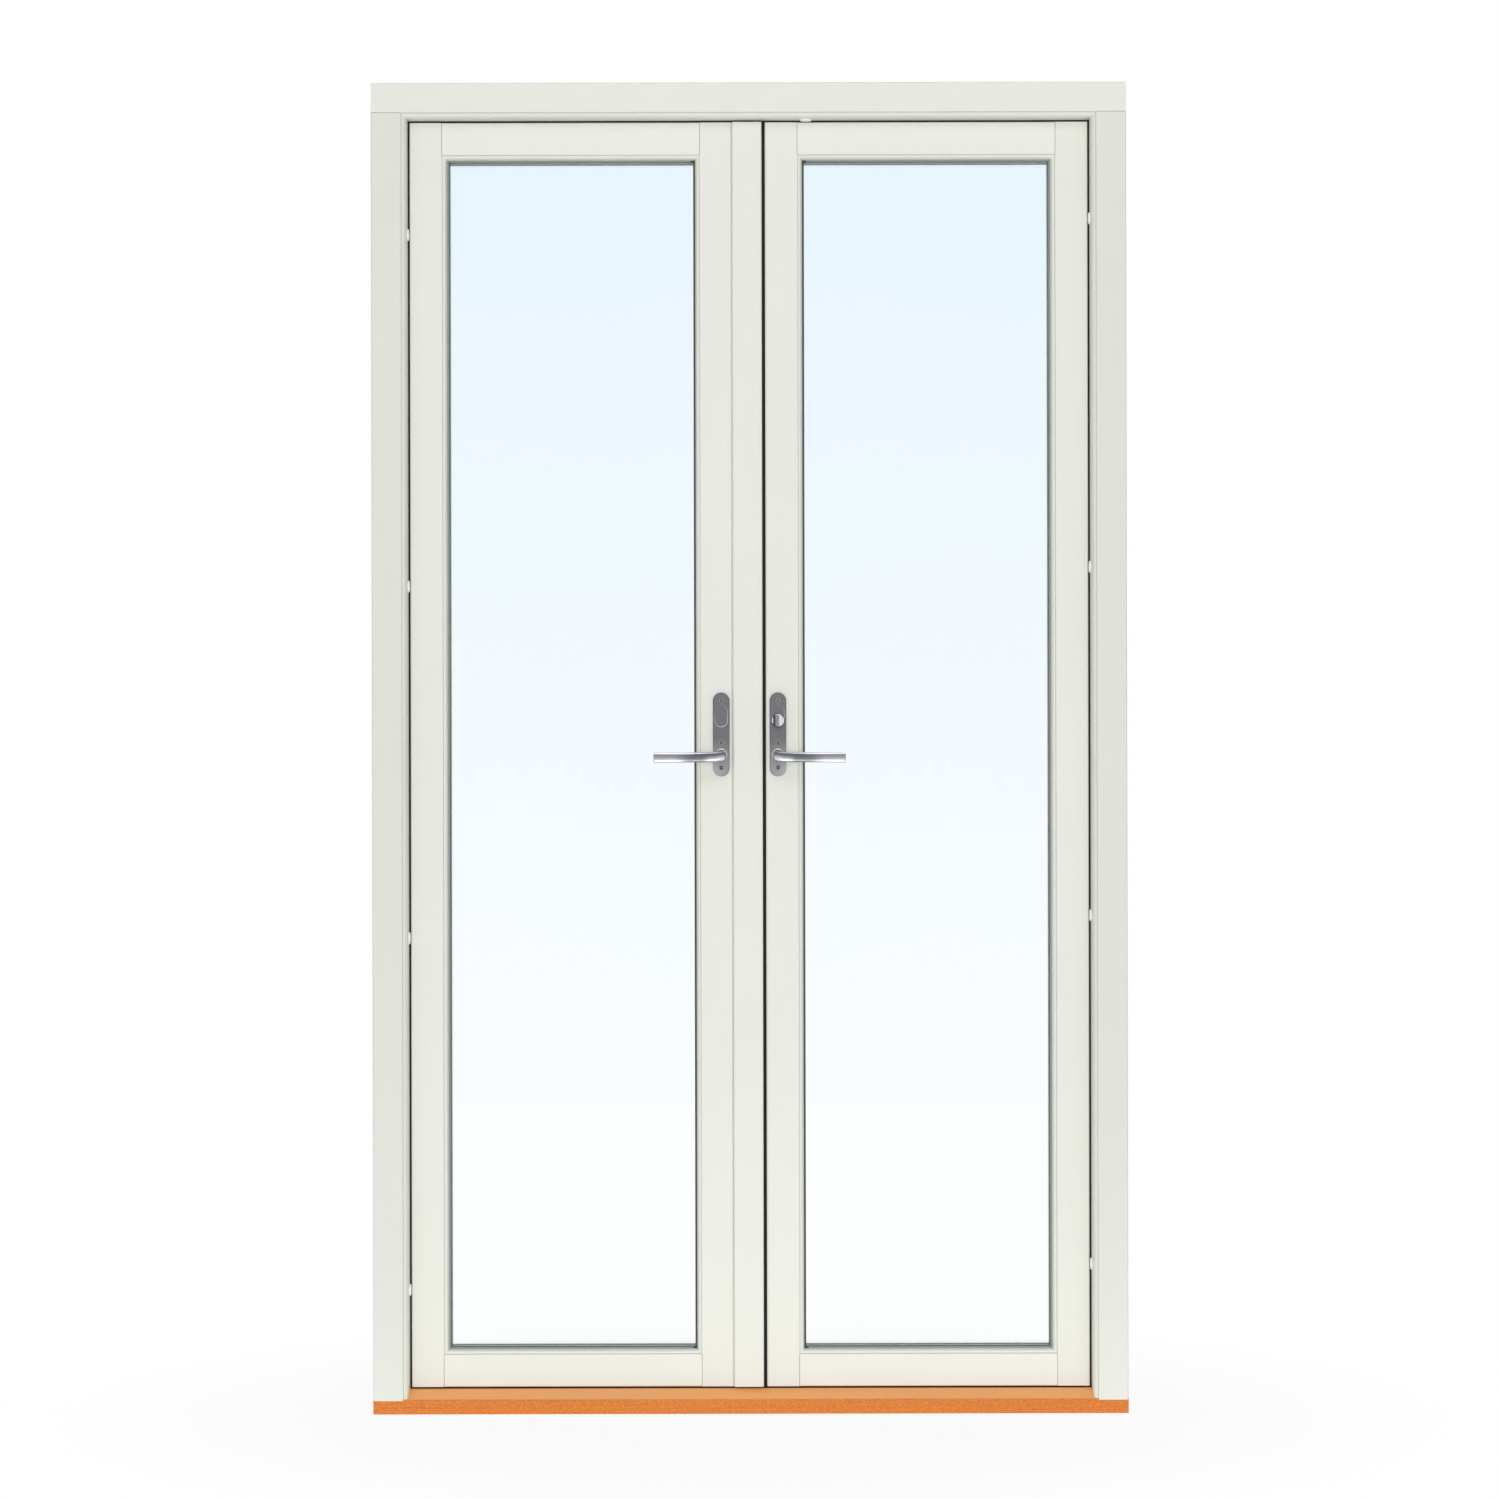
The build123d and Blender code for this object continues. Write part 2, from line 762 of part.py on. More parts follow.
def build_pinion(label, side):
    """The pinion, with a square hole for the spindle."""
    with BuildPart() as pinion:
        with BuildSketch(front_plane(rod_centre + pinion_width / 2)):
            add(gear_outline(side))
        extrude(amount=pinion_width)
        with BuildSketch(front_plane(case_front + case_width)):
            with Locations((side * spindle_x, spindle_z)):
                Rectangle(spindle_size + socket_play, spindle_size + socket_play)
        extrude(amount=case_width, mode=Mode.SUBTRACT)
    save(label, pinion)


def build_gear_case(label, side):
    """The folded case in the stile's mortise, open to the faceplate, round the pinion."""
    with BuildPart() as case:
        with BuildSketch(Plane.XY.offset(case_bottom)):
            with Locations((side * (faceplate_back + case_back) / 2, rod_centre)):
                Rectangle(case_back - faceplate_back, case_width)
        extrude(amount=case_top - case_bottom)
        with BuildSketch(Plane.XY.offset(case_bottom + case_wall)):
            with Locations((side * (faceplate_back + case_back - case_wall) / 2, rod_centre)):
                Rectangle(case_back - case_wall - faceplate_back, case_width - case_wall * 2)
        extrude(amount=case_top - case_bottom - case_wall * 2, mode=Mode.SUBTRACT)
        with BuildSketch(Plane.XY.offset(case_bottom)):
            with Locations((side * (faceplate_back + rod_outer + case_slot) / 2, rod_centre)):
                Rectangle(rod_outer + case_slot - faceplate_back, case_width - case_wall * 2)
        extrude(amount=case_top - case_bottom, mode=Mode.SUBTRACT)
        with BuildSketch(front_plane(case_front + case_width)):
            with Locations((side * spindle_x, spindle_z)):
                Rectangle(spindle_hole, spindle_hole)
        extrude(amount=case_width, mode=Mode.SUBTRACT)
        if side > 0:
            with BuildSketch(front_plane(rod_centre)):
                with Locations((side * spindle_x, turn_z)):
                    Rectangle(turn_hole, turn_hole)
            extrude(amount=case_width, mode=Mode.SUBTRACT)
    save(label, case)


def build_faceplate(label, side):
    """The steel strip that closes the groove of the rods, let into the stile's edge."""
    with BuildPart() as strip:
        with BuildSketch(Plane.XY.offset(leaf_bottom)):
            with Locations((side * (faceplate_front + faceplate_back) / 2, rod_centre)):
                Rectangle(faceplate_thickness, faceplate_width)
        extrude(amount=leaf_top - leaf_bottom)
    save(label, strip)


def build_plate(label, side):
    """The narrow handle plate with its raised oval and the cut-out of the spindle."""
    with BuildPart() as plate:
        with BuildSketch(front_plane(leaf_face)):
            with Locations((side * spindle_x, plate_centre)):
                SlotOverall(plate_top - plate_bottom, plate_width, rotation=90)
        extrude(amount=plate_thickness)
        chamfer(plate.faces().sort_by(Axis.Y)[0].outer_wire().edges(), plate_chamfer)
        with BuildSketch(front_plane(plate_face)):
            with Locations((side * spindle_x, oval_centre)):
                SlotOverall(oval_height, oval_width, rotation=90)
        extrude(amount=oval_rise)
        with BuildSketch(front_plane(leaf_face)):
            with Locations((side * spindle_x, spindle_z)):
                Rectangle(spindle_hole, spindle_hole)
            if side > 0:
                with Locations((side * spindle_x, turn_z)):
                    Rectangle(turn_hole, turn_hole)
        extrude(amount=plate_thickness + oval_rise, mode=Mode.SUBTRACT)
    save(label, plate)


def lever_sections():
    """The lever's sections: inner and outer point in plan, height, corner radius and drop of each."""
    sections = [((neck_half, 0), (-neck_half, 0), neck_height, neck_corner, 0)]
    for step in range(bend_steps + 1):
        share = step / bend_steps
        turn = share * pi / 2
        half = neck_half + (arm_half - neck_half) * share
        pivot = (bend_radius, neck_length)
        inner = bend_radius - half
        sideways = (cos(turn) / (bend_radius + neck_half)) ** bend_squareness
        forward = (sin(turn) / (bend_radius + arm_half)) ** bend_squareness
        outer = (sideways + forward) ** (-1 / bend_squareness)
        sections.append(
            (
                (pivot[0] - inner * cos(turn), pivot[1] + inner * sin(turn)),
                (pivot[0] - outer * cos(turn), pivot[1] + outer * sin(turn)),
                neck_height + (arm_height - neck_height) * share,
                neck_corner + (arm_corner - neck_corner) * share,
                arm_drop * share,
            )
        )
    low, high = neck_length + bend_radius - arm_half, neck_length + bend_radius + arm_half
    for along, trim in ((arm_length - arm_end_break, 0), (arm_length, arm_end_break)):
        sections.append(
            (
                (along, low + trim),
                (along, high - trim),
                arm_end_height - trim * 2,
                arm_corner - trim,
                arm_end_drop,
            )
        )
    return sections


def build_lever(label, side):
    """The lever: a round neck that turns into a flat-ended arm, lofted through rounded sections."""
    base = plate_face - lever_play
    with BuildPart() as lever:
        for inner, outer, height, radius, drop in lever_sections():
            across = Vector(side * (outer[0] - inner[0]), inner[1] - outer[1], 0)
            middle = (
                side * (spindle_x + (inner[0] + outer[0]) / 2),
                base - (inner[1] + outer[1]) / 2,
                spindle_z - drop,
            )
            with BuildSketch(Plane(middle, across, across.cross(Vector(0, 0, 1)))):
                RectangleRounded(across.length, height, radius)
        loft(ruled=True)
        with BuildSketch(front_plane(base)):
            with Locations((side * spindle_x, spindle_z)):
                Circle(collar_radius)
        extrude(amount=collar_height)
        with BuildSketch(front_plane(base)):
            with Locations((side * spindle_x, spindle_z)):
                Rectangle(spindle_size + socket_play, spindle_size + socket_play)
        extrude(amount=lever_socket, mode=Mode.SUBTRACT)
    save(label, lever)


def build_spindle(label, side):
    """The square bar that carries the lever's turn to the pinion."""
    far_end = case_front + case_width - case_slot
    with BuildPart() as spindle:
        with BuildSketch(front_plane(far_end)):
            with Locations((side * spindle_x, spindle_z)):
                Rectangle(spindle_size, spindle_size)
        extrude(amount=far_end - plate_face + lever_play + lever_socket)
    save(label, spindle)


for side, name in ((-1, "left"), (1, "right")):
    build_hinge_stile(f"{name}_hinge_stile", side)
    build_meeting_stile(f"{name}_meeting_stile", side)
    build_rail(f"{name}_top_rail", side, True)
    build_rail(f"{name}_bottom_rail", side, False)
    for number, place in enumerate(("inner", "middle", "outer")):
        build_pane(f"{name}_{place}_pane", side, number)
    build_spacers(f"{name}_spacers", side)
    build_glazing_gaskets(f"{name}_glazing_gaskets", side)
    build_beads(f"{name}_glazing_beads", side)
    build_setting_blocks(f"{name}_setting_blocks", side)
    build_leaf_hinges(f"{name}_leaf_hinges", side)
    build_faceplate(f"{name}_faceplate", side)
    build_gear_case(f"{name}_gear_case", side)
    build_pinion(f"{name}_pinion", side)
    build_upper_rod(f"{name}_upper_rod", side)
    build_lower_rod(f"{name}_lower_rod", side)
    build_plate(f"{name}_handle_plate", side)
    build_spindle(f"{name}_spindle", side)
    build_lever(f"{name}_lever", side)

# Flying post on the passive leaf's edge, which closes the gap between the leaves
with BuildPart() as flying_post:
    with BuildSketch(Plane.XY.offset(leaf_bottom - leaf_lip)):
        add(
            outline(
                (-meeting_half, leaf_face - post_proud),
                (post_edge, leaf_face - post_proud),
                (post_edge - post_bevel, outer_face),
                (-meeting_half, outer_face),
                rounds=[(-meeting_half, leaf_face - post_proud), (post_edge, leaf_face - post_proud)],
                radius=post_round,
            )
        )
        with Locations((post_edge, seal_centre)):
            Rectangle(post_bevel * 2, seal_width, mode=Mode.SUBTRACT)
            Rectangle((post_bevel + kerf_depth + fit_gap) * 2, kerf_width, mode=Mode.SUBTRACT)
    extrude(amount=leaf_top - leaf_bottom + leaf_lip * 2)
    with BuildSketch(front_plane(lip_start)):
        add(end_rebates())
    extrude(amount=tongue_depth + post_proud + overrun, mode=Mode.SUBTRACT)
save("flying_post", flying_post)

# Black gasket of the meeting gap, with its leg in the post
with BuildPart() as meeting_gasket:
    with BuildSketch(Plane.XY.offset(leaf_bottom)):
        with Locations((post_edge + (meeting_seal_proud - post_bevel) / 2, seal_centre)):
            Rectangle(meeting_seal_proud + post_bevel, seal_width)
        with Locations((post_edge - post_bevel - kerf_depth / 2, seal_centre)):
            Rectangle(kerf_depth, kerf_width - fit_gap * 2)
    extrude(amount=leaf_top - leaf_bottom)
save("meeting_gasket", meeting_gasket)

# Thumb-turn: a knob scooped to an upright blade, on a shaft into the gear case
turn_base = plate_face - oval_rise - lever_play
with BuildPart() as thumb_turn:
    with BuildSketch(front_plane(turn_base)):
        with Locations((spindle_x, turn_z)):
            Circle(turn_radius)
    extrude(amount=turn_height)
    with BuildSketch(Plane.XY.offset(turn_z - turn_radius - overrun)):
        for way in (-1, 1):
            with Locations((spindle_x + way * (turn_blade / 2 + turn_scoop), turn_base - turn_skirt - turn_scoop)):
                Circle(turn_scoop)
    extrude(amount=(turn_radius + overrun) * 2, mode=Mode.SUBTRACT)
    with BuildSketch(front_plane(leaf_face + turn_depth)):
        with Locations((spindle_x, turn_z)):
            Rectangle(turn_shaft, turn_shaft)
    extrude(amount=leaf_face + turn_depth - turn_base)
save("thumb_turn", thumb_turn)
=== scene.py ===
"""French doors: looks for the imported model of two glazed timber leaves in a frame.

Lengths are in metres in the model's own frame: +X to the right seen from the room, +Y to the outside
and +Z up, with the origin in the middle of the threshold's underside.
"""
import json

import bmesh
import bpy
import numpy as np
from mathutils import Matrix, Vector


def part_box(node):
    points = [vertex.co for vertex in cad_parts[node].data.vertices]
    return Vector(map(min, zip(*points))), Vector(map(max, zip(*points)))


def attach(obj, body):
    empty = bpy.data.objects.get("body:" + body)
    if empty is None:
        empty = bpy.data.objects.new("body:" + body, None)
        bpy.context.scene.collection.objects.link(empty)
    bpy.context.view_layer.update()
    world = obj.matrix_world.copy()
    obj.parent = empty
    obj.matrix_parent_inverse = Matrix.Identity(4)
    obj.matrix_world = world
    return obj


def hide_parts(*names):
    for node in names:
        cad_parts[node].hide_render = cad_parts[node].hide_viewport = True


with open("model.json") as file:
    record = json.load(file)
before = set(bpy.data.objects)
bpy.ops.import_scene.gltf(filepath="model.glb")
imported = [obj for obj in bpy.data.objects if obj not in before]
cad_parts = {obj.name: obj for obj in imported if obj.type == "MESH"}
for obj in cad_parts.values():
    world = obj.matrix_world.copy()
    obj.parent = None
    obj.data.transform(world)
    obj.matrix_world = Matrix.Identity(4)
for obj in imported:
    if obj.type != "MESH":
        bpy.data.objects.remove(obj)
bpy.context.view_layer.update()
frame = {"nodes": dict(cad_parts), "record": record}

# Frame head and jambs. Planed pine, moulded along the room side and sprayed with satin off-white
# paint. The head lies over the jambs, so lines of dust show where the flats meet.


def linear(code):
    """An sRGB hex colour as linear red, green, blue and alpha."""
    parts = np.array([int(code[i : i + 2], 16) for i in (1, 3, 5)]) / 255
    lit = np.where(parts <= 0.04045, parts / 12.92, ((parts + 0.055) / 1.055) ** 2.4)
    return (*lit.tolist(), 1.0)


def node(tree, kind, settings, inputs):
    """Adds a node of one kind to a tree with its settings, and sets or links its inputs."""
    made = tree.nodes.new(kind)
    for name, value in settings.items():
        setattr(made, name, value)
    for place, value in inputs.items():
        if isinstance(value, bpy.types.NodeSocket):
            tree.links.new(value, made.inputs[place])
        else:
            made.inputs[place].default_value = value
    return made


def new_material(name, **sockets):
    """A material of that name with constants on its shader: the material, its tree and the shader."""
    made = bpy.data.materials.new(name)
    made.use_nodes = True
    shader = made.node_tree.nodes["Principled BSDF"]
    for socket, value in sockets.items():
        shader.inputs[socket.replace("_", " ")].default_value = value
    return made, made.node_tree, shader


def dress(material, *names):
    """Gives CAD nodes a material in their own slots."""
    for name in names:
        frame["nodes"][name].material_slots[0].material = material


rgba = {"data_type": "RGBA"}


def mottle(tree, size, low, high, detail=2.0):
    """A cloud pattern with patches of one size: its value, and its tone between two colours."""
    place = node(tree, "ShaderNodeTexCoord", {}, {}).outputs["Object"]
    look = {"Vector": place, "Scale": 1 / size, "Detail": detail}
    cloud = node(tree, "ShaderNodeTexNoise", {}, look).outputs[0]
    ends = {0: cloud, 6: linear(low), 7: linear(high)}
    return cloud, node(tree, "ShaderNodeMix", rgba, ends).outputs[2]


def painted_timber(name, low, high, grain, quirks):
    """Satin alkyd paint on planed pine. The film is smooth and slightly warm between two close tones,
    the grain below shows as a faint relief along the member, and the spray leaves a fine peel. A
    little darker painted shade lies in the quirks beside the mouldings, at distances across the member."""
    paint, tree, shader = new_material(name, Roughness=0.4, Coat_Weight=0.12, Coat_Roughness=0.3)
    fibre_width, fibre_length, peel_size, cloud_size = 0.0014, 0.11, 0.0022, 0.4
    quirk_half, moulding_end, relief_depth = 0.0007, 0.03, 0.0001
    place = node(tree, "ShaderNodeTexCoord", {}, {}).outputs["Object"]
    stretch = [1 / fibre_width] * 3
    stretch[grain] = 1 / fibre_length
    fibres = node(tree, "ShaderNodeMapping", {}, {"Vector": place, "Scale": stretch}).outputs[0]
    fibres = node(
        tree, "ShaderNodeTexNoise", {}, {"Vector": fibres, "Scale": 1.0, "Detail": 4.0}
    ).outputs[0]
    peel = node(
        tree, "ShaderNodeTexNoise", {}, {"Vector": place, "Scale": 1 / peel_size, "Detail": 1.0}
    ).outputs[0]
    _, tone = mottle(tree, cloud_size, low, high)
    tone = node(
        tree, "ShaderNodeMix", {**rgba, "blend_type": "SOFT_LIGHT"}, {0: 0.1, 6: tone, 7: fibres}
    ).outputs[2]
    parts = node(tree, "ShaderNodeSeparateXYZ", {}, {0: place}).outputs
    room_side = node(
        tree, "ShaderNodeMath", {"operation": "LESS_THAN"}, {0: parts[1], 1: moulding_end}
    ).outputs[0]
    across = node(tree, "ShaderNodeMath", {"operation": "ABSOLUTE"}, {0: parts[2 - grain]}).outputs[0]
    # painted shade: a darker band in each quirk, on the room side only
    for distance in quirks:
        lies = node(
            tree, "ShaderNodeMath", {"operation": "COMPARE"}, {0: across, 1: distance, 2: quirk_half}
        ).outputs[0]
        lies = node(
            tree, "ShaderNodeMath", {"operation": "MULTIPLY"}, {0: lies, 1: room_side}
        ).outputs[0]
        tone = node(tree, "ShaderNodeMix", rgba, {0: lies, 6: tone, 7: linear("#C3C5B8")}).outputs[2]
    relief = node(
        tree, "ShaderNodeMath", {"operation": "MULTIPLY_ADD"}, {0: fibres, 1: 0.6, 2: peel}
    ).outputs[0]
    bump = node(
        tree, "ShaderNodeBump", {}, {"Height": relief, "Strength": 0.12, "Distance": relief_depth}
    ).outputs[0]
    tree.links.new(tone, shader.inputs["Base Color"])
    tree.links.new(bump, shader.inputs["Normal"])
    return paint


head_quirk, jamb_quirk = 2.0328, 0.5428
head_paint = painted_timber("painted_pine_head", "#E1E2DA", "#E7E8E0", grain=0, quirks=[head_quirk])
# painted shade: the jambs' paint is a little darker than the head's, for the darker sides of the frame
jamb_paint = painted_timber("painted_pine_jamb", "#D9DBD3", "#E0E2DA", grain=2, quirks=[jamb_quirk])
dress(head_paint, "frame_head")
dress(jamb_paint, "left_jamb", "right_jamb")


def surface(name, body, material, rings, sharp=40.0, loop=False, polish=None):
    """Closed shells from an array of copies x rings x points x 3: quads join each ring to the next
    one, and a flat face closes each end unless the rings run in a loop. The painted light is a tone per
    point."""
    copies, rows, around, _ = rings.shape
    index = np.arange(copies * rows * around).reshape(copies, rows, around)
    near, far = (index, np.roll(index, -1, 1)) if loop else (index[:, :-1], index[:, 1:])
    corners = [near, np.roll(near, -1, 2), np.roll(far, -1, 2), far]
    quads = np.stack(corners, -1).reshape(-1, 4).tolist()
    ends = [] if loop else index[:, [0, -1]].reshape(-1, around).tolist()
    mesh = bpy.data.meshes.new(name)
    mesh.from_pydata(rings.reshape(-1, 3).tolist(), [], quads + ends)
    shell = bmesh.new()
    shell.from_mesh(mesh)
    bmesh.ops.recalc_face_normals(shell, faces=shell.faces)
    shell.to_mesh(mesh)
    shell.free()
    mesh.polygons.foreach_set("use_smooth", np.ones(len(mesh.polygons), bool))
    mesh.set_sharp_from_angle(angle=np.radians(sharp))
    if polish is not None:
        mesh.attributes.new("polish", "FLOAT", "POINT").data.foreach_set("value", polish.ravel())
    mesh.materials.append(material)
    piece = bpy.data.objects.new(name, mesh)
    bpy.context.scene.collection.objects.link(piece)
    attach(piece, body)
    return piece


def blocks(lows, highs):
    """Upright boxes from their lowest and highest corners: four points below and four above."""
    lows, highs = np.array(lows, float), np.array(highs, float)
    turn = np.array([[[0, 0, k], [1, 0, k], [1, 1, k], [0, 1, k]] for k in (0, 1)], float)
    return lows[:, None, None] + (highs - lows)[:, None, None] * turn


# dust in the open joints draws a grey line nearly a millimetre wide
joint_dust, joint_tree, joint_shader = new_material("dust_in_joint", Roughness=0.9)
dust_patch = 0.03
_, joint_tone = mottle(joint_tree, dust_patch, "#7D7868", "#9C978A")
joint_tree.links.new(joint_tone, joint_shader.inputs["Base Color"])

line_half, line_proud, line_end = 0.0004, 0.00004, 0.0015
jamb_flat = 0.0465
head_low, head_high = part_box("frame_head")
jamb_low, jamb_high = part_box("left_jamb")
# in front the lines end at the moulding, and behind they cross the whole jamb
joint_rows = [
    (head_low.y, head_high.z - jamb_flat, jamb_flat),
    (head_high.y, jamb_high.z, jamb_high.x - jamb_low.x),
]
surface(
    "frame_joint_lines",
    "frame",
    joint_dust,
    blocks(
        [
            (x, y - line_proud, z - line_half)
            for y, z, long in joint_rows
            for x in (head_low.x + line_end, head_high.x - long)
        ],
        [
            (x, y + line_proud, z + line_half)
            for y, z, long in joint_rows
            for x in (head_low.x + long, head_high.x - line_end)
        ],
    ),
)

# Threshold. One plank of hardwood, planed to a slope on the room side and oiled orange-brown. The
# sawn front shows short dark pores, and faces that turn upwards, the slope most, are painted paler as
# painted light from above.
oak, oak_tree, oak_shader = new_material(
    "oiled_hardwood", Roughness=0.5, Coat_Weight=0.08, Coat_Roughness=0.4
)
streak_width, streak_length = 0.004, 0.25
pore_width, pore_length, pore_depth = 0.0016, 0.0042, 0.0003
oak_place = node(oak_tree, "ShaderNodeTexCoord", {}, {}).outputs["Object"]
oak_normal = node(oak_tree, "ShaderNodeTexCoord", {}, {}).outputs["Normal"]
oak_streak = node(
    oak_tree,
    "ShaderNodeMapping",
    {},
    {"Vector": oak_place, "Scale": (1 / streak_length, 1 / streak_width, 1 / streak_width)},
).outputs[0]
oak_streak = node(
    oak_tree,
    "ShaderNodeTexNoise",
    {},
    {"Vector": oak_streak, "Scale": 1.0, "Detail": 4.0, "Distortion": 0.6},
).outputs[0]
oak_pore = node(
    oak_tree,
    "ShaderNodeMapping",
    {},
    {"Vector": oak_place, "Scale": (1 / pore_length, 1 / pore_width, 1 / pore_width)},
).outputs[0]
oak_pore = node(
    oak_tree,
    "ShaderNodeTexNoise",
    {},
    {"Vector": oak_pore, "Scale": 1.0, "Detail": 3.0, "Roughness": 0.7},
).outputs[0]
smooth = {"interpolation_type": "SMOOTHSTEP"}
oak_speck = node(
    oak_tree, "ShaderNodeMapRange", smooth, {"Value": oak_pore, "From Min": 0.36, "From Max": 0.66}
).outputs[0]
oak_speck = node(
    oak_tree, "ShaderNodeMix", rgba, {0: oak_speck, 6: linear("#C58A5C"), 7: linear("#FFFFFF")}
).outputs[2]
oak_tone = node(
    oak_tree, "ShaderNodeMix", rgba, {0: oak_streak, 6: linear("#D5781F"), 7: linear("#E49036")}
).outputs[2]
oak_tone = node(
    oak_tree, "ShaderNodeMix", {**rgba, "blend_type": "MULTIPLY"}, {0: 0.55, 6: oak_tone, 7: oak_speck}
).outputs[2]
# painted light: faces turned up are painted paler, as if lit from above
oak_painted_top_light = node(
    oak_tree, "ShaderNodeMix", rgba, {0: oak_streak, 6: linear("#F7A75F"), 7: linear("#FFB873")}
).outputs[2]
oak_up = node(oak_tree, "ShaderNodeSeparateXYZ", {}, {0: oak_normal}).outputs["Z"]
oak_up = node(
    oak_tree, "ShaderNodeMapRange", {}, {"Value": oak_up, "From Min": 0.5, "From Max": 0.9}
).outputs[0]
oak_tone = node(oak_tree, "ShaderNodeMix", rgba, {0: oak_up, 6: oak_tone, 7: oak_painted_top_light}).outputs[2]
oak_bump = node(
    oak_tree, "ShaderNodeBump", {}, {"Height": oak_pore, "Strength": 0.3, "Distance": pore_depth}
).outputs[0]
oak_tree.links.new(oak_tone, oak_shader.inputs["Base Color"])
oak_tree.links.new(oak_bump, oak_shader.inputs["Normal"])
dress(oak, "threshold")

# Cover caps over the frame screws. Flat round caps of white plastic with a rounded edge, pushed into
# the holes in the reveals, four to a jamb and one under the head.
cap_plastic, cap_tree, cap_shader = new_material("moulded_white_plastic", Roughness=0.35, IOR=1.49)
cap_patch = 0.004
_, cap_tone = mottle(cap_tree, cap_patch, "#F0F0EA", "#F6F6F1")
cap_tree.links.new(cap_tone, cap_shader.inputs["Base Color"])


def turned(profile, centres, axis, around):
    """A profile of radii and heights turned round an axis along X, Y or Z through each centre."""
    axis = np.array(axis, float)
    side = np.roll(axis, 1)
    other = np.cross(axis, side)
    angle = np.linspace(0, 2 * np.pi, around, endpoint=False)[:, None]
    spokes = np.cos(angle) * side + np.sin(angle) * other
    profile = np.array(profile, float)
    ring = profile[:, 0, None, None] * spokes + profile[:, 1, None, None] * axis
    return np.array(centres, float)[:, None, None] + ring


# the edge follows a superellipse, so the top is nearly flat
cap_radius, cap_rise, cap_squareness, cap_sweep, cap_around = 0.0094, 0.0031, 5, 1.54, 36
cap_bow = np.linspace(0, cap_sweep, 21)
cap_profile = np.stack(
    [
        cap_radius * np.cos(cap_bow) ** (2 / cap_squareness),
        cap_rise * np.sin(cap_bow) ** (2 / cap_squareness),
    ],
    -1,
)
fixings = [m for m in frame["record"]["mounts"] if m["kind"] == "bolt_pattern"]
for side, reveal in (("left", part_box("left_jamb")[1].x), ("right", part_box("right_jamb")[0].x)):
    centres = [
        (reveal, m["pos_m"][1], m["pos_m"][2] + way * m["dims"]["spacing_y_mm"] / 2000)
        for m in fixings
        if m["name"].startswith(side)
        for way in (-1, 1)
    ]
    caps = turned(cap_profile, centres, (-np.sign(reveal), 0, 0), cap_around)
    surface(f"{side}_fixing_caps", "frame", cap_plastic, caps)
head_cap_x = 0.09
head_cap = [(head_cap_x, fixings[0]["pos_m"][1], head_low.z)]
caps = turned(cap_profile, head_cap, (0, 0, -1), cap_around)
surface("head_fixing_cap", "frame", cap_plastic, caps)

# Gaskets in the gaps. Extruded black rubber with a soft matt skin that is slightly uneven. One runs
# round the frame's opening, and the other closes the gap between the leaves.
black_rubber, rubber_tree, rubber_shader = new_material("black_epdm_rubber", Roughness=0.75, IOR=1.52)
rubber_patch, rubber_relief = 0.003, 0.0002
rubber_cloud, rubber_tone = mottle(rubber_tree, rubber_patch, "#050505", "#0F0F0D", detail=3.0)
rubber_bump = node(
    rubber_tree,
    "ShaderNodeBump",
    {},
    {"Height": rubber_cloud, "Strength": 0.2, "Distance": rubber_relief},
).outputs[0]
rubber_tree.links.new(rubber_tone, rubber_shader.inputs["Base Color"])
rubber_tree.links.new(rubber_bump, rubber_shader.inputs["Normal"])
dress(black_rubber, "frame_gasket", "meeting_gasket")

# Hinges, keeps and the gear of the edge bolts. Steel, stamped or drawn, with bright zinc plate that
# is a little blotchy. Countersunk screws hold the flaps, the faceplates and the keeps.
zinc, zinc_tree, zinc_shader = new_material("bright_zinc_steel", Metallic=1.0)
zinc_patch = 0.006
zinc_cloud, zinc_tone = mottle(zinc_tree, zinc_patch, "#A4A8AC", "#C9CBCC", detail=5.0)
zinc_rough = node(
    zinc_tree, "ShaderNodeMapRange", {}, {"Value": zinc_cloud, "To Min": 0.24, "To Max": 0.42}
).outputs[0]
zinc_tree.links.new(zinc_tone, zinc_shader.inputs["Base Color"])
zinc_tree.links.new(zinc_rough, zinc_shader.inputs["Roughness"])
dress(zinc, "bolt_keeps", "left_frame_hinges", "right_frame_hinges")
for side in ("left", "right"):
    dress(zinc, f"{side}_leaf_hinges", f"{side}_faceplate", f"{side}_gear_case", f"{side}_pinion")
    dress(zinc, f"{side}_upper_rod", f"{side}_lower_rod", f"{side}_spindle")


def cross_heads(radius, rise, centres, axis):
    """Screw heads with a cross recess: a low dome over each centre, sunk where a point lies near one of
    the two lines across the head."""
    rows, around, rim_share, arm_share, reach_share, sink_share = 8, 32, 0.35, 0.16, 0.62, 0.75
    share = np.linspace(1, 0.04, rows)
    dome = rim_share + (1 - rim_share) * np.sqrt(1.0001 - share**2)
    profile = np.stack([radius * share, rise * dome], -1)
    profile = np.concatenate([[[radius, -rise * 0.2]], profile])
    rings = turned(profile, centres, axis, around)
    middle = np.array(centres, float)[:, None, None]
    flat = (rings - middle) * (1 - np.abs(np.array(axis, float)))
    across = np.sort(np.abs(flat), -1)
    arm = (across[..., 1] < radius * arm_share) & (across[..., 2] < radius * reach_share)
    return rings - np.array(axis, float) * (rise * sink_share * arm)[..., None]


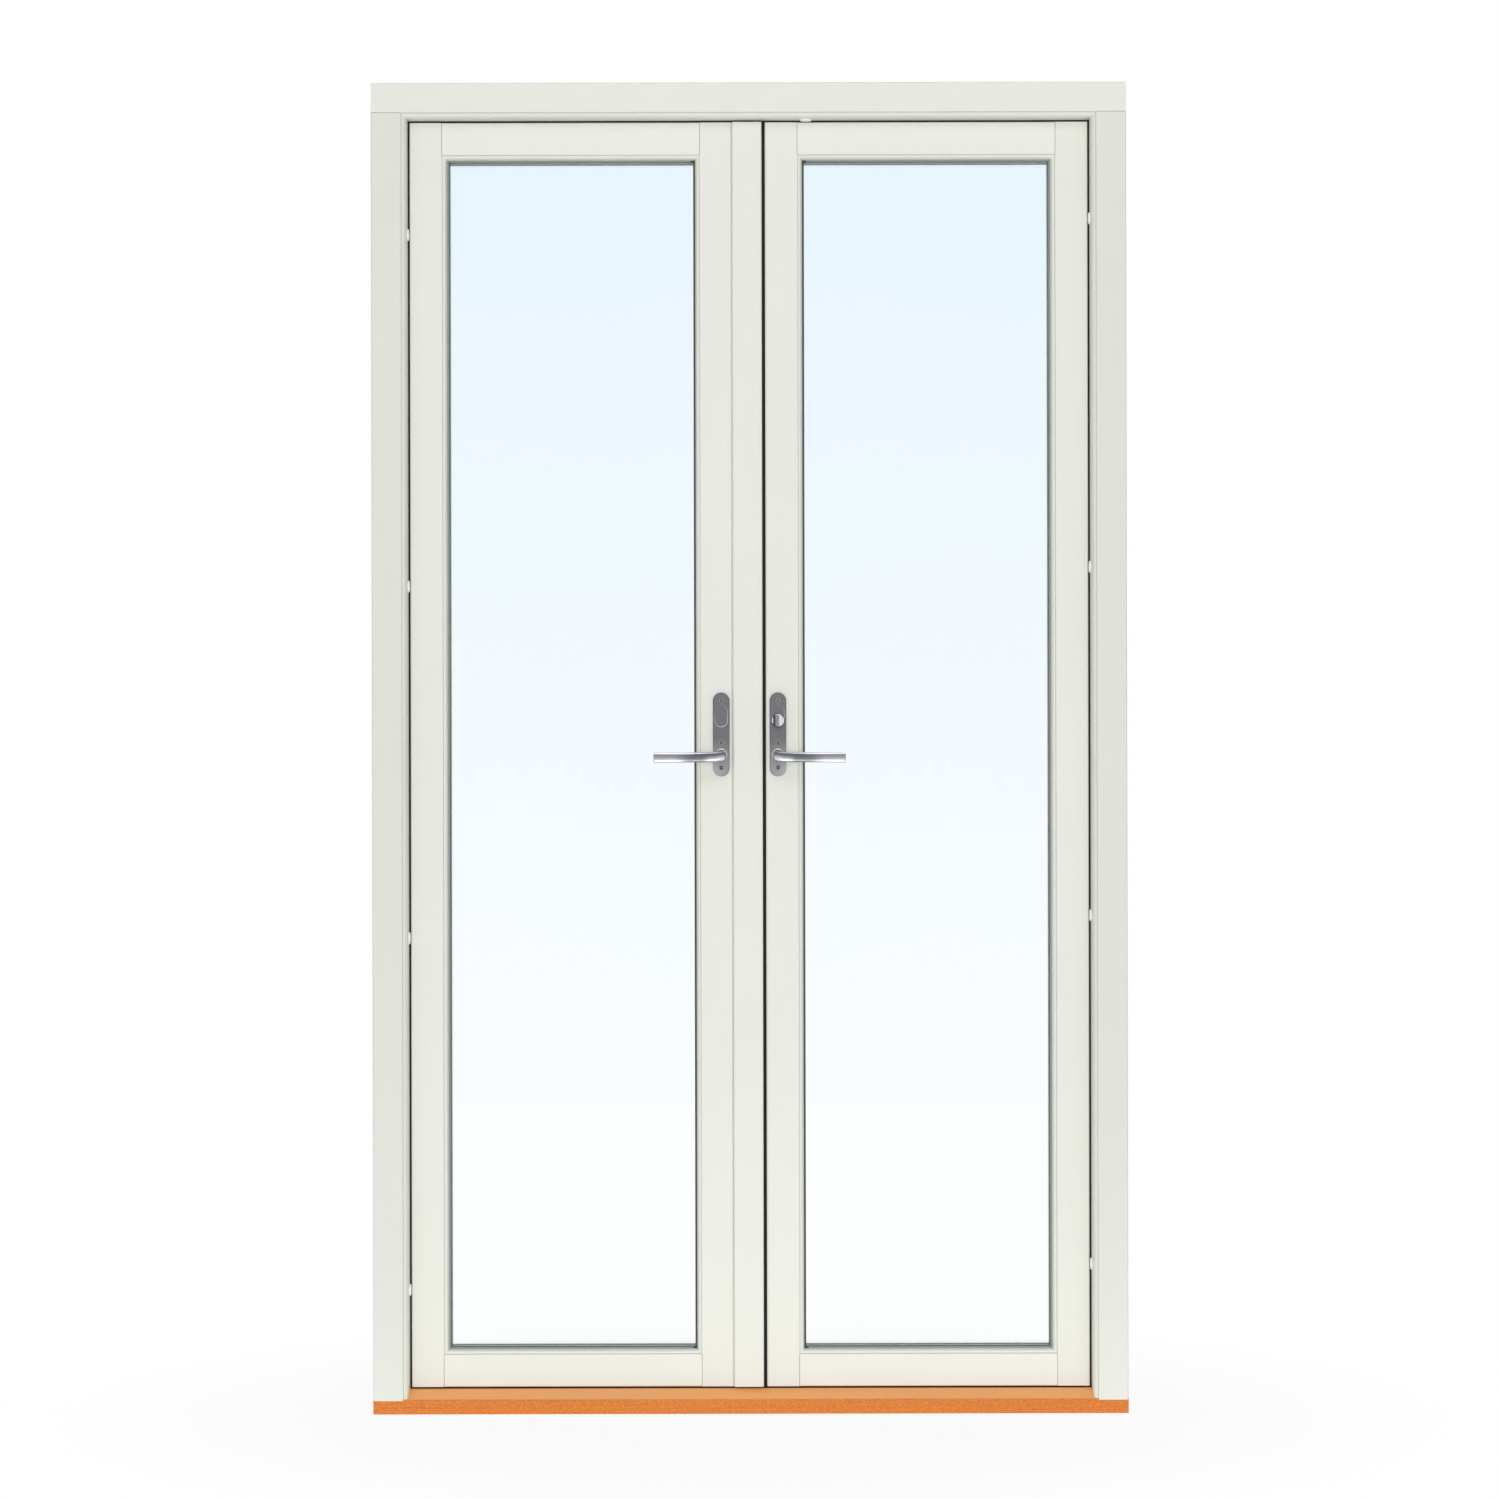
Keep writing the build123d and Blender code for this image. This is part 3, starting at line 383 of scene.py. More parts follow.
flap_screw, flap_rise, flap_thick, flap_gap = 0.0038, 0.00018, 0.002, 0.00047
flap_row, flap_stagger, flap_steps = 0.0385, 0.006, (-0.034, -0.012, 0.012, 0.034)
hinge_heights = (0.23, 1.03, 1.83)
strip_screw, strip_heights = 0.0034, (0.09, 0.38, 0.67, 0.96, 1.12, 1.41, 1.7, 1.97)
for side, sign in (("left", -1), ("right", 1)):
    wall = abs(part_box(f"{side}_hinge_stile")[0 if sign < 0 else 1].x)
    centres = [
        (sign * (wall + flap_thick), flap_row + flap_stagger * (k % 2), z + step)
        for z in hinge_heights
        for k, step in enumerate(flap_steps)
    ]
    heads = cross_heads(flap_screw, flap_rise, centres, (sign, 0, 0))
    surface(f"{side}_leaf_hinge_screws", f"{side}_leaf", zinc, heads)
    centres = [(x + sign * flap_gap, y, z) for x, y, z in centres]
    heads = cross_heads(flap_screw, flap_rise, centres, (-sign, 0, 0))
    surface(f"{side}_frame_hinge_screws", "frame", zinc, heads)
    low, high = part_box(f"{side}_faceplate")
    strip_x = high.x if sign < 0 else low.x
    centres = [(strip_x, (low.y + high.y) / 2, z) for z in strip_heights]
    heads = cross_heads(strip_screw, flap_rise, centres, (-sign, 0, 0))
    surface(f"{side}_faceplate_screws", f"{side}_leaf", zinc, heads)

# the keeps are let in flush, with a screw at each end
keep_low, keep_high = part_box("bolt_keeps")
keep_thick, keep_long, keep_screw, keep_inset, keep_rise = 0.002, 0.026, 0.0022, 0.0033, 0.00015
for name, level, up in (
    ("lower", keep_low.z + keep_thick, 1),
    ("upper", keep_high.z - keep_thick, -1),
):
    centres = [
        (sign * (keep_high.x - step), (keep_low.y + keep_high.y) / 2, level)
        for sign in (-1, 1)
        for step in (keep_inset, keep_long - keep_inset)
    ]
    heads = cross_heads(keep_screw, keep_rise, centres, (0, 0, up))
    surface(f"{name}_keep_screws", "frame", zinc, heads)

# Leaves. Stiles and rails of the same painted pine, with the stiles running through and the moulding
# mitred at each corner, outer glazing beads, and the flying post screwed to the left meeting stile.
hinge_quirk, meeting_quirk, top_quirk, bottom_quirk = 0.4808, 0.0772, 1.9708, 0.0892
stile_paint = painted_timber(
    "painted_pine_stile", "#E1E2DA", "#E8E9E1", grain=2, quirks=[hinge_quirk, meeting_quirk]
)
rail_paint = painted_timber(
    "painted_pine_rail", "#E4E5DD", "#EAEBE3", grain=0, quirks=[top_quirk, bottom_quirk]
)
dress(stile_paint, "flying_post")
leaf_edge, meeting_edge, leaf_foot, leaf_head, rail_flat = 0.532, 0.026, 0.038, 2.022, 0.0505
for side, sign in (("left", -1), ("right", 1)):
    dress(stile_paint, f"{side}_hinge_stile", f"{side}_meeting_stile", f"{side}_glazing_beads")
    dress(rail_paint, f"{side}_top_rail", f"{side}_bottom_rail")
    rail_low, rail_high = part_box(f"{side}_top_rail")
    near, far = rail_low.y - line_proud, rail_low.y + line_proud
    joints = [sign * (leaf_edge - rail_flat), sign * (meeting_edge + rail_flat)]
    heights = [(leaf_foot, leaf_foot + rail_flat), (leaf_head - rail_flat, leaf_head)]
    lines = blocks(
        [(x - line_half, near, low) for x in joints for low, high in heights],
        [(x + line_half, far, high) for x in joints for low, high in heights],
    )
    surface(f"{side}_leaf_joint_lines", f"{side}_leaf", joint_dust, lines)
    # outside, the beads lie flush, and lines run round them and between stiles and rails
    bead_low, bead_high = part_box(f"{side}_glazing_beads")
    stile_low, stile_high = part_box(f"{side}_hinge_stile")
    uprights = [rail_low.x, rail_high.x] + [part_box("flying_post")[0].x] * (sign < 0)
    near, far = rail_high.y - line_proud, rail_high.y + line_proud
    lines = blocks(
        [(x - line_half, near, stile_low.z) for x in uprights]
        + [(rail_low.x, near, z - line_half) for z in (bead_low.z, bead_high.z)],
        [(x + line_half, far, stile_high.z) for x in uprights]
        + [(rail_high.x, far, z + line_half) for z in (bead_low.z, bead_high.z)],
    )
    surface(f"{side}_bead_joint_lines", f"{side}_leaf", joint_dust, lines)

# Glass units. Three sheets of clear float glass with dark spacer bars between them, a grey-green
# gasket on the room side and plastic blocks under the unit.
glass, glass_tree, glass_shader = new_material(
    "clear_float_glass", Roughness=0.0, IOR=1.5, Transmission_Weight=1.0
)
glass_patch = 0.5
_, glass_tone = mottle(glass_tree, glass_patch, "#FEFFFF", "#FFFFFF")
glass_tree.links.new(glass_tone, glass_shader.inputs["Base Color"])

# the bars are of coated metal, dark along the sides, with a row of small pale holes in their middle
spacer, spacer_tree, spacer_shader = new_material("coated_spacer_bar", Roughness=0.45, Metallic=0.4)
hole_pitch, hole_radius, bar_middles, first_bar_end = 0.004, 0.0007, (0.0105, 0.0285), 0.019
spacer_coord = node(spacer_tree, "ShaderNodeTexCoord", {}, {}).outputs
spacer_place = node(spacer_tree, "ShaderNodeSeparateXYZ", {}, {0: spacer_coord["Object"]}).outputs
spacer_normal = node(spacer_tree, "ShaderNodeSeparateXYZ", {}, {0: spacer_coord["Normal"]}).outputs
spacer_lies = node(
    spacer_tree, "ShaderNodeMath", {"operation": "ABSOLUTE"}, {0: spacer_normal["Z"]}
).outputs[0]
spacer_face = node(
    spacer_tree, "ShaderNodeMath", {"operation": "ABSOLUTE"}, {0: spacer_normal["Y"]}
).outputs[0]
spacer_along = node(
    spacer_tree,
    "ShaderNodeMix",
    {"data_type": "FLOAT"},
    {0: spacer_lies, 2: spacer_place["Z"], 3: spacer_place["X"]},
).outputs[0]
spacer_along = node(
    spacer_tree, "ShaderNodeMath", {"operation": "PINGPONG"}, {0: spacer_along, 1: hole_pitch / 2}
).outputs[0]
spacer_depth = node(
    spacer_tree, "ShaderNodeMath", {"operation": "SUBTRACT"}, {0: spacer_place["Y"], 1: bar_middles[0]}
).outputs[0]
spacer_depth = node(
    spacer_tree,
    "ShaderNodeMath",
    {"operation": "PINGPONG"},
    {0: spacer_depth, 1: (bar_middles[1] - bar_middles[0]) / 2},
).outputs[0]
spacer_far = node(
    spacer_tree, "ShaderNodeCombineXYZ", {}, {0: spacer_along, 1: spacer_depth}
).outputs[0]
spacer_far = node(
    spacer_tree, "ShaderNodeVectorMath", {"operation": "LENGTH"}, {0: spacer_far}
).outputs["Value"]
spacer_hole = node(
    spacer_tree, "ShaderNodeMath", {"operation": "LESS_THAN"}, {0: spacer_far, 1: hole_radius}
).outputs[0]
spacer_tone = node(
    spacer_tree, "ShaderNodeMix", rgba, {0: spacer_hole, 6: linear("#161D1A"), 7: linear("#8D9994")}
).outputs[2]
# painted highlight: the level bars next to the room are painted lighter, where they catch more light
spacer_painted_highlight = node(
    spacer_tree, "ShaderNodeMath", {"operation": "LESS_THAN"}, {0: spacer_place["Y"], 1: first_bar_end}
).outputs[0]
spacer_painted_highlight = node(
    spacer_tree, "ShaderNodeMath", {"operation": "MULTIPLY"}, {0: spacer_painted_highlight, 1: spacer_lies}
).outputs[0]
spacer_tone = node(
    spacer_tree, "ShaderNodeMix", rgba, {0: spacer_painted_highlight, 6: spacer_tone, 7: linear("#B4C1BD")}
).outputs[2]
spacer_tone = node(
    spacer_tree, "ShaderNodeMix", rgba, {0: spacer_face, 6: spacer_tone, 7: linear("#3A4A45")}
).outputs[2]
spacer_tree.links.new(spacer_tone, spacer_shader.inputs["Base Color"])

# the gasket's lip is dull grey-green, with a darker painted shade beside the meeting stiles where it
# lies deeper
grey_rubber, grey_tree, grey_shader = new_material("grey_green_epdm_rubber", Roughness=0.6, IOR=1.52)
grey_patch, meeting_lip = 0.003, 0.0905
_, grey_tone = mottle(grey_tree, grey_patch, "#84948B", "#92A299")
grey_place = node(grey_tree, "ShaderNodeTexCoord", {}, {}).outputs["Object"]
grey_aside = node(grey_tree, "ShaderNodeSeparateXYZ", {}, {0: grey_place}).outputs["X"]
grey_meeting_shade = node(
    grey_tree, "ShaderNodeMath", {"operation": "COMPARE"}, {0: grey_aside, 1: 0.0, 2: meeting_lip}
).outputs[0]
# painted shade: darker gasket near the meeting stiles
grey_tone = node(
    grey_tree, "ShaderNodeMix", rgba, {0: grey_meeting_shade, 6: grey_tone, 7: linear("#3F4D41")}
).outputs[2]
grey_tree.links.new(grey_tone, grey_shader.inputs["Base Color"])

# the blocks have the faint grit of a moulded surface
block_plastic, block_tree, block_shader = new_material(
    "moulded_black_polypropylene", Roughness=0.5, IOR=1.49
)
block_grit = 0.001
_, block_tone = mottle(block_tree, block_grit, "#1C1C1C", "#2A2A2A")
block_tree.links.new(block_tone, block_shader.inputs["Base Color"])
for side in ("left", "right"):
    dress(glass, f"{side}_inner_pane", f"{side}_middle_pane", f"{side}_outer_pane")
    dress(spacer, f"{side}_spacers")
    dress(grey_rubber, f"{side}_glazing_gaskets")
    dress(block_plastic, f"{side}_setting_blocks")

# Handle plates. Stainless steel pressed to a low tray, brushed along its length, with a raised oval
# whose rolled rim catches the light, and three bronzed screws each.


def satin_steel(name, dark, light, shade, grain, low_rough, high_rough):
    """Satin metal whose tone runs from dark to light with a shade built in its tree, under fine brush
    scratches along one axis that vary tone, gloss and relief."""
    steel, tree, shader = new_material(name, Metallic=1.0)
    scratch_width, scratch_length, scratch_depth = 0.0004, 0.02, 0.00005
    place = node(tree, "ShaderNodeTexCoord", {}, {}).outputs["Object"]
    stretch = [1 / scratch_width] * 3
    stretch[grain] = 1 / scratch_length
    scratch = node(tree, "ShaderNodeMapping", {}, {"Vector": place, "Scale": stretch}).outputs[0]
    scratch = node(
        tree, "ShaderNodeTexNoise", {}, {"Vector": scratch, "Scale": 1.0, "Detail": 3.0}
    ).outputs[0]
    tone = node(
        tree, "ShaderNodeMix", rgba, {0: shade(tree), 6: linear(dark), 7: linear(light)}
    ).outputs[2]
    tone = node(
        tree, "ShaderNodeMix", {**rgba, "blend_type": "SOFT_LIGHT"}, {0: 0.25, 6: tone, 7: scratch}
    ).outputs[2]
    rough = node(
        tree, "ShaderNodeMapRange", {}, {"Value": scratch, "To Min": low_rough, "To Max": high_rough}
    ).outputs[0]
    bump = node(
        tree, "ShaderNodeBump", {}, {"Height": scratch, "Strength": 0.08, "Distance": scratch_depth}
    ).outputs[0]
    tree.links.new(tone, shader.inputs["Base Color"])
    tree.links.new(rough, shader.inputs["Roughness"])
    tree.links.new(bump, shader.inputs["Normal"])
    return steel


def painted_reflection_foot(tree):
    """Shade that rises below the lever, where the plate is painted brighter as a painted reflection,
    most on the hinge side.
    """
    reflection_top, reflection_low, meeting_side, hinge_side = 1.058, 1.014, 0.0315, 0.0575
    place = node(tree, "ShaderNodeTexCoord", {}, {}).outputs["Object"]
    parts = node(tree, "ShaderNodeSeparateXYZ", {}, {0: place}).outputs
    painted_shading = node(
        tree,
        "ShaderNodeMapRange",
        smooth,
        {"Value": parts["Z"], "From Min": reflection_top, "From Max": reflection_low},
    ).outputs[0]
    aside = node(tree, "ShaderNodeMath", {"operation": "ABSOLUTE"}, {0: parts["X"]}).outputs[0]
    aside = node(
        tree,
        "ShaderNodeMapRange",
        {},
        {"Value": aside, "From Min": meeting_side, "From Max": hinge_side, "To Min": 0.45},
    ).outputs[0]
    return node(tree, "ShaderNodeMath", {"operation": "MULTIPLY"}, {0: painted_shading, 1: aside}).outputs[0]


def polish(tree):
    """Painted light and shade kept on the mesh for each point."""
    return node(tree, "ShaderNodeAttribute", {"attribute_name": "polish"}, {}).outputs["Fac"]


# the plate's tone is a painted reflection: darker above the lever, brighter below it and towards the
# hinge side
plate_steel = satin_steel(
    "brushed_plate_steel", "#75767A", "#B8B8BE", painted_reflection_foot, grain=2, low_rough=0.34, high_rough=0.44
)
rim_steel = satin_steel(
    "rolled_rim_steel", "#87888D", "#CFD0D5", polish, grain=2, low_rough=0.25, high_rough=0.32
)
screw_steel = satin_steel(
    "bronzed_screw_steel", "#35281F", "#AFA193", polish, grain=0, low_rough=0.3, high_rough=0.42
)
dress(plate_steel, "left_handle_plate", "right_handle_plate")


def stadium(width, height, centre, profile, around):
    """Rings with straight sides and round ends in the front view. Each ring of the profile lies at an
    inset from the outline and at a depth Y."""
    angle = np.linspace(0, 2 * np.pi, around, endpoint=False)
    radius = width / 2 - np.array(profile)[:, 0, None]
    straight = (height - width) / 2 * np.sign(np.sin(angle) + 1e-9)
    depth = np.broadcast_to(np.array(profile)[:, 1, None], radius.shape) + 0 * angle
    return np.stack(
        [centre[0] + radius * np.cos(angle), depth, centre[1] + straight + radius * np.sin(angle)], -1
    )[None]


def bar_heads(radius, centres):
    """Screw heads seen from the room: a rounded rim round a pocket with a bar left across it. Gives
    their rings and the painted light of the points: painted shade low in the pocket, and a painted
    highlight on the rim and bar."""
    share = np.array([1, 0.98, 0.92, 0.84, 0.76, 0.7, 0.68, 0.56, 0.43, 0.3, 0.16, 0.03])
    rise = np.array([0, 0.3, 0.45, 0.5, 0.47, 0.42, 0.4, 0.4, 0.4, 0.4, 0.4, 0.4]) / 1000
    pocket_share, bar_share, pocket_depth, pocket_painted_shade, rim_painted_highlight = 0.69, 0.17, 0.00036, 0.05, 0.85
    rings = turned(np.stack([radius * share, rise], -1), centres, (0, -1, 0), around=64)
    aside = np.abs(rings - np.array(centres)[:, None, None])[..., 2]
    pocket = (share < pocket_share)[:, None] & (aside > radius * bar_share)
    sunk = pocket[..., None] * np.array([0, pocket_depth, 0])
    return rings + sunk, np.where(pocket, pocket_painted_shade, rim_painted_highlight)


rim_bow = np.linspace(0, np.pi, 9)
rim_half, rim_rise, rim_seat, rim_foot = 0.0006, 0.0004, 0.0003, 0.0001
rim_width, rim_tall, rim_height, rim_fade = 0.021, 0.035, 1.09, 0.04
screw_radius, screw_seat, screw_heights = 0.0038, 0.0007, (1.009, 1.049, 1.1145)
for side in ("left", "right"):
    low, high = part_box(f"{side}_handle_plate")
    axis_x = (low.x + high.x) / 2
    bow = np.stack([rim_half * (1 - np.cos(rim_bow)), low.y - rim_rise * np.sin(rim_bow)], -1)
    seat = [[2 * rim_half, low.y + rim_seat], [rim_foot, low.y + rim_seat]]
    bow = np.concatenate([bow, seat])
    rim = stadium(rim_width, rim_tall, (axis_x, rim_height), bow, around=96)
    # painted highlight: the rim is painted brightest at its lower right, where it faces the light
    painted_shading = 0.35 + ((rim[..., 0] - axis_x) - (rim[..., 2] - rim_height)) / rim_fade
    painted_shading = painted_shading.clip(0, 1)
    surface(f"{side}_oval_rim", f"{side}_leaf", rim_steel, rim, loop=True, polish=painted_shading)
    heads, painted_shading = bar_heads(screw_radius, [(axis_x, low.y + screw_seat, z) for z in screw_heights])
    surface(f"{side}_plate_screws", f"{side}_leaf", screw_steel, heads, polish=painted_shading)

# Levers. Die-cast zinc, satin plated: a round collar and neck turn squarely into a flat arm, whose
# front is a shallow trough under a rounded top edge.
lever_steel = satin_steel(
    "satin_plated_zinc", "#5A5D65", "#DEDFE4", polish, grain=0, low_rough=0.26, high_rough=0.34
)


def ramp(value, start, end):
    """A smooth step from 0 to 1 between two places."""
    share = np.clip((value - start) / (end - start), 0, 1)
    return share**2 * (3 - 2 * share)


def lever_painted_light(along, aside, before, dip, collar_side):
    """Painted light on the lever's points, as shares of the way from the dark to the light metal. The
    trough has a painted reflection: dull below its upper edge and bright towards its foot, less so at
    the waist, and it fades in where the trough starts. The edges above and below it are painted
    brighter towards the arm's end."""
    foot = ramp(aside, 0.76, -0.76)
    waist = ramp(along, 0.014, 0.03) * (1 - ramp(along, 0.048, 0.078))
    lift = 0.24 * ramp(along, 0.035, 0.08)
    bright = (1 - 0.28 * ramp(along, 0, 0.012)) * foot * (1 - 0.8 * waist)
    trough = (0.04 + lift * (1 - foot) + bright) * np.where(before > 0, ramp(dip, 0, 0.3), 1)
    upper = 0.45 + 0.45 * ramp(along, 0, 0.08)
    lower = np.where(along < collar_side, 0.5, 0.04 + 0.66 * ramp(along, 0.03, 0.08))
    return np.where(dip > 0.004, trough, np.where(aside > 0, upper, lower))


def lever_rings(sign, base, axis_x, axis_z):
    """The lever's sections from the plate to the arm's end, each a rectangle with rounded corners, and
    the painted light of their points. Along the bend the outer side follows a superellipse and the
    inner one a circle, then the arm runs straight with a slight drop. Points on the front sink by a
    parabola across the trough, which starts with a blunt round end."""
    neck, arm, bend, rise, squareness = 0.0084, 0.0058, 0.009, 0.033, 4
    neck_height, arm_height, end_height, pinch = 0.017, 0.0158, 0.0166, 0.0005
    neck_corner, back_corner, top_corner, low_corner = 0.008, 0.0046, 0.0024, 0.0019
    arm_drop, end_drop, straight_end = 0.003, 0.0038, 0.1047
    trim_ends, trims = np.array([0.10525, 0.1055]), np.array([0.0003, 0.0008])
    bend_rows, arm_rows, corner_points, front_points = 40, 60, 12, 26
    share = np.linspace(0, 1, bend_rows)
    turn = share * np.pi / 2
    sideways, forward = np.cos(turn) / (bend + neck), np.sin(turn) / (bend + arm)
    outer = (sideways**squareness + forward**squareness) ** (-1 / squareness)
    inner = bend - (neck + (arm - neck) * share)
    rows = {
        "inner": np.stack([bend - inner * np.cos(turn), rise + inner * np.sin(turn)], -1),
        "outer": np.stack([bend - outer * np.cos(turn), rise + outer * np.sin(turn)], -1),
        "height": neck_height + (arm_height - neck_height) * share,
        "corner": neck_corner + (back_corner - neck_corner) * share,
        "top": neck_corner + (top_corner - neck_corner) * share,
        "low": neck_corner + (low_corner - neck_corner) * share,
        "drop": arm_drop * share,
    }
    reach = np.linspace(bend, straight_end, arm_rows)[1:]
    gone = (reach - bend) / (reach[-1] - bend)
    waist = pinch * np.sin(np.pi * gone)
    plain = np.ones_like(reach)
    straight = {
        "inner": np.stack([reach, (rise + bend - arm) * plain], -1),
        "outer": np.stack([reach, (rise + bend + arm) * plain], -1),
        "height": arm_height + (end_height - arm_height) * gone - waist,
        "corner": back_corner * plain,
        "top": top_corner * plain,
        "low": low_corner * plain,
        "drop": arm_drop + (end_drop - arm_drop) * gone + waist / 2,
    }
    close = {
        "inner": np.stack([trim_ends, rise + bend - arm + trims], -1),
        "outer": np.stack([trim_ends, rise + bend + arm - trims], -1),
        "height": end_height - 2 * trims,
        "corner": back_corner - trims,
        "top": top_corner - trims,
        "low": low_corner - trims,
        "drop": end_drop + 0 * trims,
    }
    start = {key: value[:1].copy() for key, value in rows.items()}
    start["inner"][:, 1] = 0
    start["outer"][:, 1] = 0
    row = {key: np.concatenate([start[key], rows[key], straight[key], close[key]]) for key in rows}
    across = row["outer"] - row["inner"]
    width = np.linalg.norm(across, axis=-1)
    ring = []
    quarters = ((1, 1, "top"), (-1, 1, "corner"), (-1, -1, "corner"), (1, -1, "low"))
    for first, (p, q, key) in enumerate(quarters):
        angle = (np.linspace(0, 1, corner_points) + first) * np.pi / 2
        radius = np.minimum(row[key], width / 2 - 1e-5)[:, None]
        side = p * (width[:, None] / 2 - radius) + radius * np.cos(angle)
        upward = q * (row["height"][:, None] / 2 - radius) + radius * np.sin(angle)
        ring.append(np.stack([side, upward], -1))
    ring = np.concatenate(ring, 1)
    fill = np.linspace(0, 1, front_points)[1:-1, None]
    front = ring[:, -1, None] + (ring[:, :1] - ring[:, -1:]) * fill
    ring = np.concatenate([ring, front], 1)
    unit = across / width[:, None]
    middle = (row["outer"] + row["inner"]) / 2
    plan = middle[:, None] + unit[:, None] * ring[..., :1]
    along = plan[..., 0]
    height = ring[..., 1] - row["drop"][:, None]
    trough_depth, trough_start, trough_end, front_depth = 0.0011, -0.0021, 0.0046, 0.0025
    top_edge, low_edge = 0.0021 + 0.0011 * ramp(along, 0, 0.07), 0.0009
    trough_half = (row["height"][:, None] - top_edge - low_edge) / 2
    trough_low = -row["drop"][:, None] - row["height"][:, None] / 2 + low_edge
    aside = (height - trough_low - trough_half) / trough_half
    before = np.clip(trough_start - along, 0, None) / trough_end
    dip = np.clip(1 - aside**2 - before**4, 0, None)
    dip *= (ring[..., 0] > width[:, None] / 2 - front_depth) & (plan[..., 1] > rise + bend)
    painted_shading = lever_painted_light(along, aside, before, dip, trough_start - trough_end)
    out = plan[..., 1] - trough_depth * dip * ramp(along, -0.007, 0.005)
    return np.stack([axis_x + sign * along, base - out, axis_z + height], -1)[None], painted_shading


lever_x, lever_z, collar_polish = 0.0445, 1.029, 0.5
collar_profile = [(0.0104, 0), (0.0104, 0.0030), (0.0101, 0.0037), (0.0094, 0.004), (0.0080, 0.0041)]
for side, sign in (("left", -1), ("right", 1)):
    base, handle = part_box(f"{side}_lever")[1].y, f"{side}_handle"
    rings, painted_shading = lever_rings(sign, base, sign * lever_x, lever_z)
    lever = surface(
        f"{side}_lever_arm", handle, lever_steel, rings, sharp=28.0, polish=painted_shading
    )
    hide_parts(f"{side}_lever")
    collar = turned(collar_profile, [(sign * lever_x, base, lever_z)], (0, -1, 0), around=72)
    painted_shading = np.full(collar.shape[:3], collar_polish)
    surface(f"{side}_lever_collar", handle, lever_steel, collar, polish=painted_shading)

# Thumb-turn. Turned and milled from the same metal, with an upright blade between two scoops and a
# bevelled foot. A painted reflection makes the scoop on the hinge side bright, and the other one dull
# beside the blade.
turn_steel = satin_steel(
    "polished_turn_steel", "#202227", "#F8F9FC", polish, grain=2, low_rough=0.14, high_rough=0.22
)


def knob(centre, base, height):
    """The knob's rings from its foot over the edge to its middle, and their painted light. Each ring is
    a circle, and a point's height is the blade's, or follows a circle of the scoop's radius down to the
    skirt. The edge is rounded by a quarter circle. The painted light goes by the place across the knob
    as painted reflection, the edge has a painted highlight towards its top, and the foot a painted
    shadow that is darkest at its lower right."""
    radius, foot, skirt, blade, scoop, edge = 0.0097, 0.0105, 0.003, 0.0084, 0.011, 0.0006
    foot_heights = np.array([0.0002, 0.0007, 0.0014])
    around, edge_rows, top_rows = 128, 7, 46
    places = np.array([-9.0, -7.7, -7.2, -6.4, -5.6, 1.4, 2.6, 4.2, 5.6, 7.4, 8.4, 9.4]) / 1000
    levels = [0.95, 0.75, 0.06, 0.06, 0.24, 0.32, 0.7, 1.0, 1.0, 1.0, 1.0, 0.9]
    angle = np.linspace(0, 2 * np.pi, around, endpoint=False)
    round_off = np.linspace(0, np.pi / 2, edge_rows)
    rings = np.concatenate([[foot, foot, radius], radius - edge * (1 - np.cos(round_off))])
    rings = np.concatenate([rings, np.linspace(radius - edge, 0.0001, top_rows)[1:]])
    x, z = rings[:, None] * np.cos(angle), rings[:, None] * np.sin(angle)
    out = np.clip(blade / 2 + scoop - np.abs(x), 0, scoop)
    top = skirt + scoop - np.sqrt(scoop**2 - out**2)
    top = np.where(np.abs(x) < blade / 2, height, np.minimum(top, height))
    top[:3] = foot_heights[:, None]
    top[3 : 3 + edge_rows] -= edge * (1 - np.sin(round_off))[:, None]
    # painted reflection across the knob, painted highlight on the edge's top, painted shadow on the
    # foot
    painted_shading = np.interp(x, places, levels)
    painted_shading[4:12] += 1.4 * np.clip(z[4:12] / radius - 0.75, 0, 1)
    painted_shading[:4] = 0.06 - 0.04 * (x - z)[:4] / foot
    return np.stack([centre[0] + x, base - top, centre[1] + z], -1)[None], painted_shading.clip(0, 1)


knob_height = 0.015
turn_low, turn_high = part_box("thumb_turn")
turn_centre = ((turn_low.x + turn_high.x) / 2, (turn_low.z + turn_high.z) / 2)
rings, painted_shading = knob(turn_centre, turn_low.y + knob_height, knob_height)
turn_knob = surface(
    "thumb_turn_knob", "lock_turn", turn_steel, rings, sharp=35.0, polish=painted_shading
)
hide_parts("thumb_turn")

# Studio. A pale floor that is white away from the doors, a white surround that is a little blue high
# up behind the glass, and large soft lamps in front, behind, above and on both sides. Only the one high
# in front shows in the metal and the glass.
floor_white, floor_tree, floor_shader = new_material("studio_floor")
floor_tree.nodes.remove(floor_shader)
floor_bounce, floor_half, floor_level = 0.5, 6.0, -0.0004
floor_path = node(floor_tree, "ShaderNodeLightPath", {}, {}).outputs
floor_seen = node(
    floor_tree,
    "ShaderNodeMath",
    {"operation": "MAXIMUM"},
    {0: floor_path["Is Camera Ray"], 1: floor_path["Is Transmission Ray"]},
).outputs[0]
floor_seen = node(
    floor_tree,
    "ShaderNodeMath",
    {"operation": "MAXIMUM"},
    {0: floor_seen, 1: floor_path["Is Glossy Ray"]},
).outputs[0]
floor_place = node(floor_tree, "ShaderNodeTexCoord", {}, {}).outputs["Object"]
floor_far = node(
    floor_tree, "ShaderNodeVectorMath", {"operation": "LENGTH"}, {0: floor_place}
).outputs["Value"]
floor_fade = node(
    floor_tree,
    "ShaderNodeMapRange",
    smooth,
    {"Value": floor_far, "From Min": 0.5, "From Max": 1.2, "To Min": 0.9, "To Max": 1.0},
).outputs[0]
